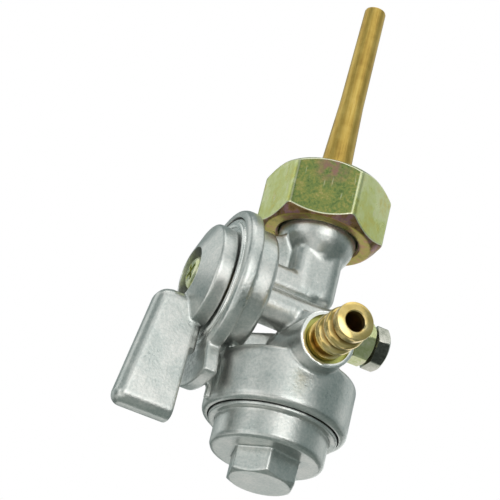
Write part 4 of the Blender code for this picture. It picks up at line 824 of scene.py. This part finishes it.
lock_nut = hexagon(
    "lock_nut", BOLT_FLATS, side_nut_low.x, side_nut_high.x, chamfer_start=LOCK_NUT_CHAMFER,
    slope=BOLT_SLOPE)
carve(lock_nut, turn_on_lathe("nut_hole", [
    (BOLT_HOLE, side_nut_low.x - 0.001), (BOLT_HOLE, side_nut_high.x + 0.001),
], solid=True, sides=48))
ease(lock_nut, 0.00014)
stand(lock_nut, along_x)
dress(lock_nut, lime_zinc, "tap_body", "yellow_zinc", "side_nut")

washer_low, washer_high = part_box("side_washer")
washer_radius = (washer_high.z - washer_low.z) / 2
side_washer = turn_on_lathe("flat_washer", [
    (BOLT_HOLE, washer_low.x), (washer_radius, washer_low.x),
    (washer_radius, washer_high.x), (BOLT_HOLE, washer_high.x),
])
ease(side_washer, 0.00015)
stand(side_washer, along_x)
dress(side_washer, lime_zinc, "tap_body", "yellow_zinc", "side_washer")


# Valve
# Behind the lever's hub: a pressed cover over the stem seal, the wave spring, the brass rotor with its
# port groove and the rubber gasket on the chamber's floor.
STEEL_DARK = (0.30, 0.31, 0.33)
STEEL_LIGHT = (0.56, 0.57, 0.60)
COVER_HOLE = 0.0044
COVER_EDGE = 0.0002
BEAD_RADIUS = 0.0120         # a bead pressed into the cover, round the hub
BEAD_HALF = 0.0007
BEAD_HEIGHT = 0.00048
BEAD_STEPS = 8

wave_steel, shader, shade = new_finish("wave_steel")
place = shade.object_place()
rolled = noise(shade, place.stretched((900.0, 4200.0, 500.0)), 1.0)
feed(shader, Base_Color=rolled.blend(STEEL_DARK, STEEL_LIGHT), Metallic=1.0, Roughness=0.24 + rolled * 0.2)
refinish(wave_steel, "wave_spring", "lever_washer")
refinish(turned_brass, "valve_rotor")

pressed_zinc = passivated("pressed_zinc", 300.0, [
    (0.32, (0.74, 0.75, 0.73)), (0.50, (0.90, 0.90, 0.88)), (0.68, (0.96, 0.94, 0.91)),
], 0.14)
cover_low, cover_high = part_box("cover_ring")
cover_radius = (cover_high.z - cover_low.z) / 2
cover_face = -cover_low.x
rings = [
    (COVER_HOLE, -cover_high.x), (cover_radius, -cover_high.x), (cover_radius, cover_face - COVER_EDGE),
    (cover_radius - COVER_EDGE, cover_face),
]
for step in range(BEAD_STEPS + 1):
    turn = pi * step / BEAD_STEPS
    rings.append((BEAD_RADIUS + BEAD_HALF * cos(turn), cover_face + BEAD_HEIGHT * sin(turn)))
rings.append((COVER_HOLE, cover_face))
cover = turn_on_lathe("valve_cover", rings, sides=128)
stand(cover, along_valve)
dress(cover, pressed_zinc, "tap_body", "bright_zinc", "cover_ring")


# Lever
# A die-cast hub with a dished middle and a wing that hangs from it, fixed to the stem by a pan-head
# screw with a cross recess and a split washer.
HUB_RADIUS = 0.0108
HUB_BACK = 0.01924
DISH_RADIUS = 0.0051
DISH_DEPTH = 0.0036
HUB_NOSE = 0.02444
WING_FRONT = -0.0022
WING_BACK = 0.0032
WING_OUT = -0.0328
WING_IN = -0.01944
WING_TOP = VALVE_Z - 0.0053
WING_FOOT = VALVE_Z - 0.0311
WING_ROUND = 0.0021
LEVER_VOXEL = 0.00020
LEVER_SOFTENING = 5

hub = turn_on_lathe("hub", [
    (HUB_RADIUS, HUB_BACK), (HUB_RADIUS, 0.02184), (0.0107, 0.02218), (0.0104, 0.02244),
    (DISH_RADIUS, HUB_NOSE), (DISH_RADIUS, HUB_NOSE - DISH_DEPTH),
], solid=True, sides=128)
stand(hub, along_valve)
wing = block("wing", (WING_OUT, WING_FRONT, WING_FOOT), (WING_IN, WING_BACK, WING_TOP))
saw_off(wing, (-0.0297, 0.0, VALVE_Z - 0.0060), (-0.9909, 0.0, 0.1346))
saw_off(wing, (-0.0297, 0.0, VALVE_Z - 0.0059), (-0.2098, 0.0, 0.9777))
saw_off(wing, (-0.02164, 0.0, WING_TOP), (0.8984, 0.0, 0.4392))
ease(wing, WING_ROUND, 60.0, 8)
carve(wing, block("notch", (-0.0210, -0.010, VALVE_Z - 0.040), (-0.0150, 0.010, VALVE_Z - 0.0160)))
cast_lever = fuse("cast_lever", [hub, wing], LEVER_VOXEL, LEVER_SOFTENING)
dress(cast_lever, cast_alloy, "lever", "cast_alloy", "lever", cast=True)

SCREW_RADIUS = 0.0020
HEAD_HEIGHT = 0.0022
HEAD_RIM = 0.0006            # height of the head's upright rim
HEAD_FLAT = 0.0018
HEAD_STEPS = 6
CROSS_TURN = 28.0
CROSS_ARM = (0.0042, 0.0009, 0.0022)
screw_low, screw_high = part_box("lever_screw")
head_radius = (screw_high.z - screw_low.z) / 2
head_out = -screw_low.x
head_back = head_out - HEAD_HEIGHT
rings = [(SCREW_RADIUS, -screw_high.x), (SCREW_RADIUS, head_back), (head_radius - 0.0002, head_back)]
for step in range(HEAD_STEPS + 1):
    turn = pi / 2 * step / HEAD_STEPS
    rings.append((HEAD_FLAT + (head_radius - HEAD_FLAT) * cos(turn),
                  head_back + HEAD_RIM + (HEAD_HEIGHT - HEAD_RIM) * sin(turn)))
lever_screw = turn_on_lathe("hub_screw", rings, solid=True, sides=64)
for turn in (CROSS_TURN, CROSS_TURN + 90.0):
    bpy.ops.object.select_all(action="DESELECT")
    bpy.ops.mesh.primitive_cube_add(size=1.0, location=(0.0, 0.0, head_out))
    blade = bpy.context.active_object
    blade.scale = CROSS_ARM
    blade.rotation_euler = (0.0, 0.0, radians(turn))
    settle(blade)
    carve(lever_screw, blade)
ease(lever_screw, 0.00008)
stand(lever_screw, along_valve)
dress(lever_screw, lime_zinc, "lever", "yellow_zinc", "lever_screw")


# Bowl and filter
# The cast bowl screws up into the housing against a rubber ring. Inside it a moulded cage holds a
# fine gauze sleeve, through which the fuel leaves.
BOWL_BOTTOM = HOUSING_FOOT - 0.0065
BOWL_RADIUS = 0.0113
BOWL_BORE_RADIUS = 0.0098
BOWL_FLANGE_RADIUS = 0.0128
BOWL_FLANGE_HEIGHT = 0.0008
BOWL_THREAD_HEIGHT = 0.0045
BOWL_FLATS = 0.0125
BOWL_HEXAGON_HEIGHT = 0.0052
BOWL_TURN = radians(15.0)
BOWL_VOXEL = 0.00022
BOWL_SOFTENING = 3
NYLON_DARK = (0.66, 0.64, 0.55)
NYLON_LIGHT = (0.80, 0.78, 0.70)

flange_foot = HOUSING_FOOT - BOWL_FLANGE_HEIGHT
thread_top = HOUSING_FOOT + BOWL_THREAD_HEIGHT
bowl_cup = turn_on_lathe("bowl_cup", [
    (0.0104, BOWL_BOTTOM), (0.0110, BOWL_BOTTOM + 0.0003), (BOWL_RADIUS, BOWL_BOTTOM + 0.0009),
    (BOWL_RADIUS, flange_foot), (BOWL_FLANGE_RADIUS - 0.0002, flange_foot),
    (BOWL_FLANGE_RADIUS, flange_foot + 0.0002), (BOWL_FLANGE_RADIUS, HOUSING_FOOT),
    (BOWL_RADIUS, HOUSING_FOOT), (BOWL_RADIUS, thread_top), (BOWL_BORE_RADIUS, thread_top),
    (BOWL_BORE_RADIUS, BOWL_BOTTOM + 0.0015),
], solid=True, sides=ROUND)
bowl_hexagon = hexagon(
    "bowl_hexagon", BOWL_FLATS, -BOWL_BOTTOM - 0.001, -BOWL_BOTTOM + BOWL_HEXAGON_HEIGHT, BOWL_TURN,
    both=False)
stand(bowl_hexagon, Matrix.Rotation(pi, 4, "X"))
cast_bowl = fuse("cast_bowl", [bowl_cup, bowl_hexagon], BOWL_VOXEL, BOWL_SOFTENING)
dress(cast_bowl, cast_alloy, "tap_body", "cast_alloy", "sediment_bowl", cast=True)

ring_low, ring_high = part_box("bowl_seal")
section = (ring_high.z - ring_low.z) / 2
bpy.ops.object.select_all(action="DESELECT")
middle = (0.0, 0.0, (ring_high.z + ring_low.z) / 2)
bpy.ops.mesh.primitive_torus_add(
    major_radius=ring_high.x - section, minor_radius=section, major_segments=128, minor_segments=16,
    location=middle)
bowl_ring = bpy.context.active_object
bowl_ring.name = "bowl_ring"
settle(bowl_ring)
dress(bowl_ring, black_rubber, "tap_body", "black_rubber", "bowl_seal")

nylon, shader, shade = new_finish("nylon")
place = shade.object_place()
flow = noise(shade, place, 300.0)
feed(shader, Base_Color=flow.blend(NYLON_DARK, NYLON_LIGHT), Roughness=0.45 + flow * 0.2,
     Subsurface_Weight=0.15)
refinish(nylon, "filter_cage")
refinish(drawn_brass, "filter_gauze")
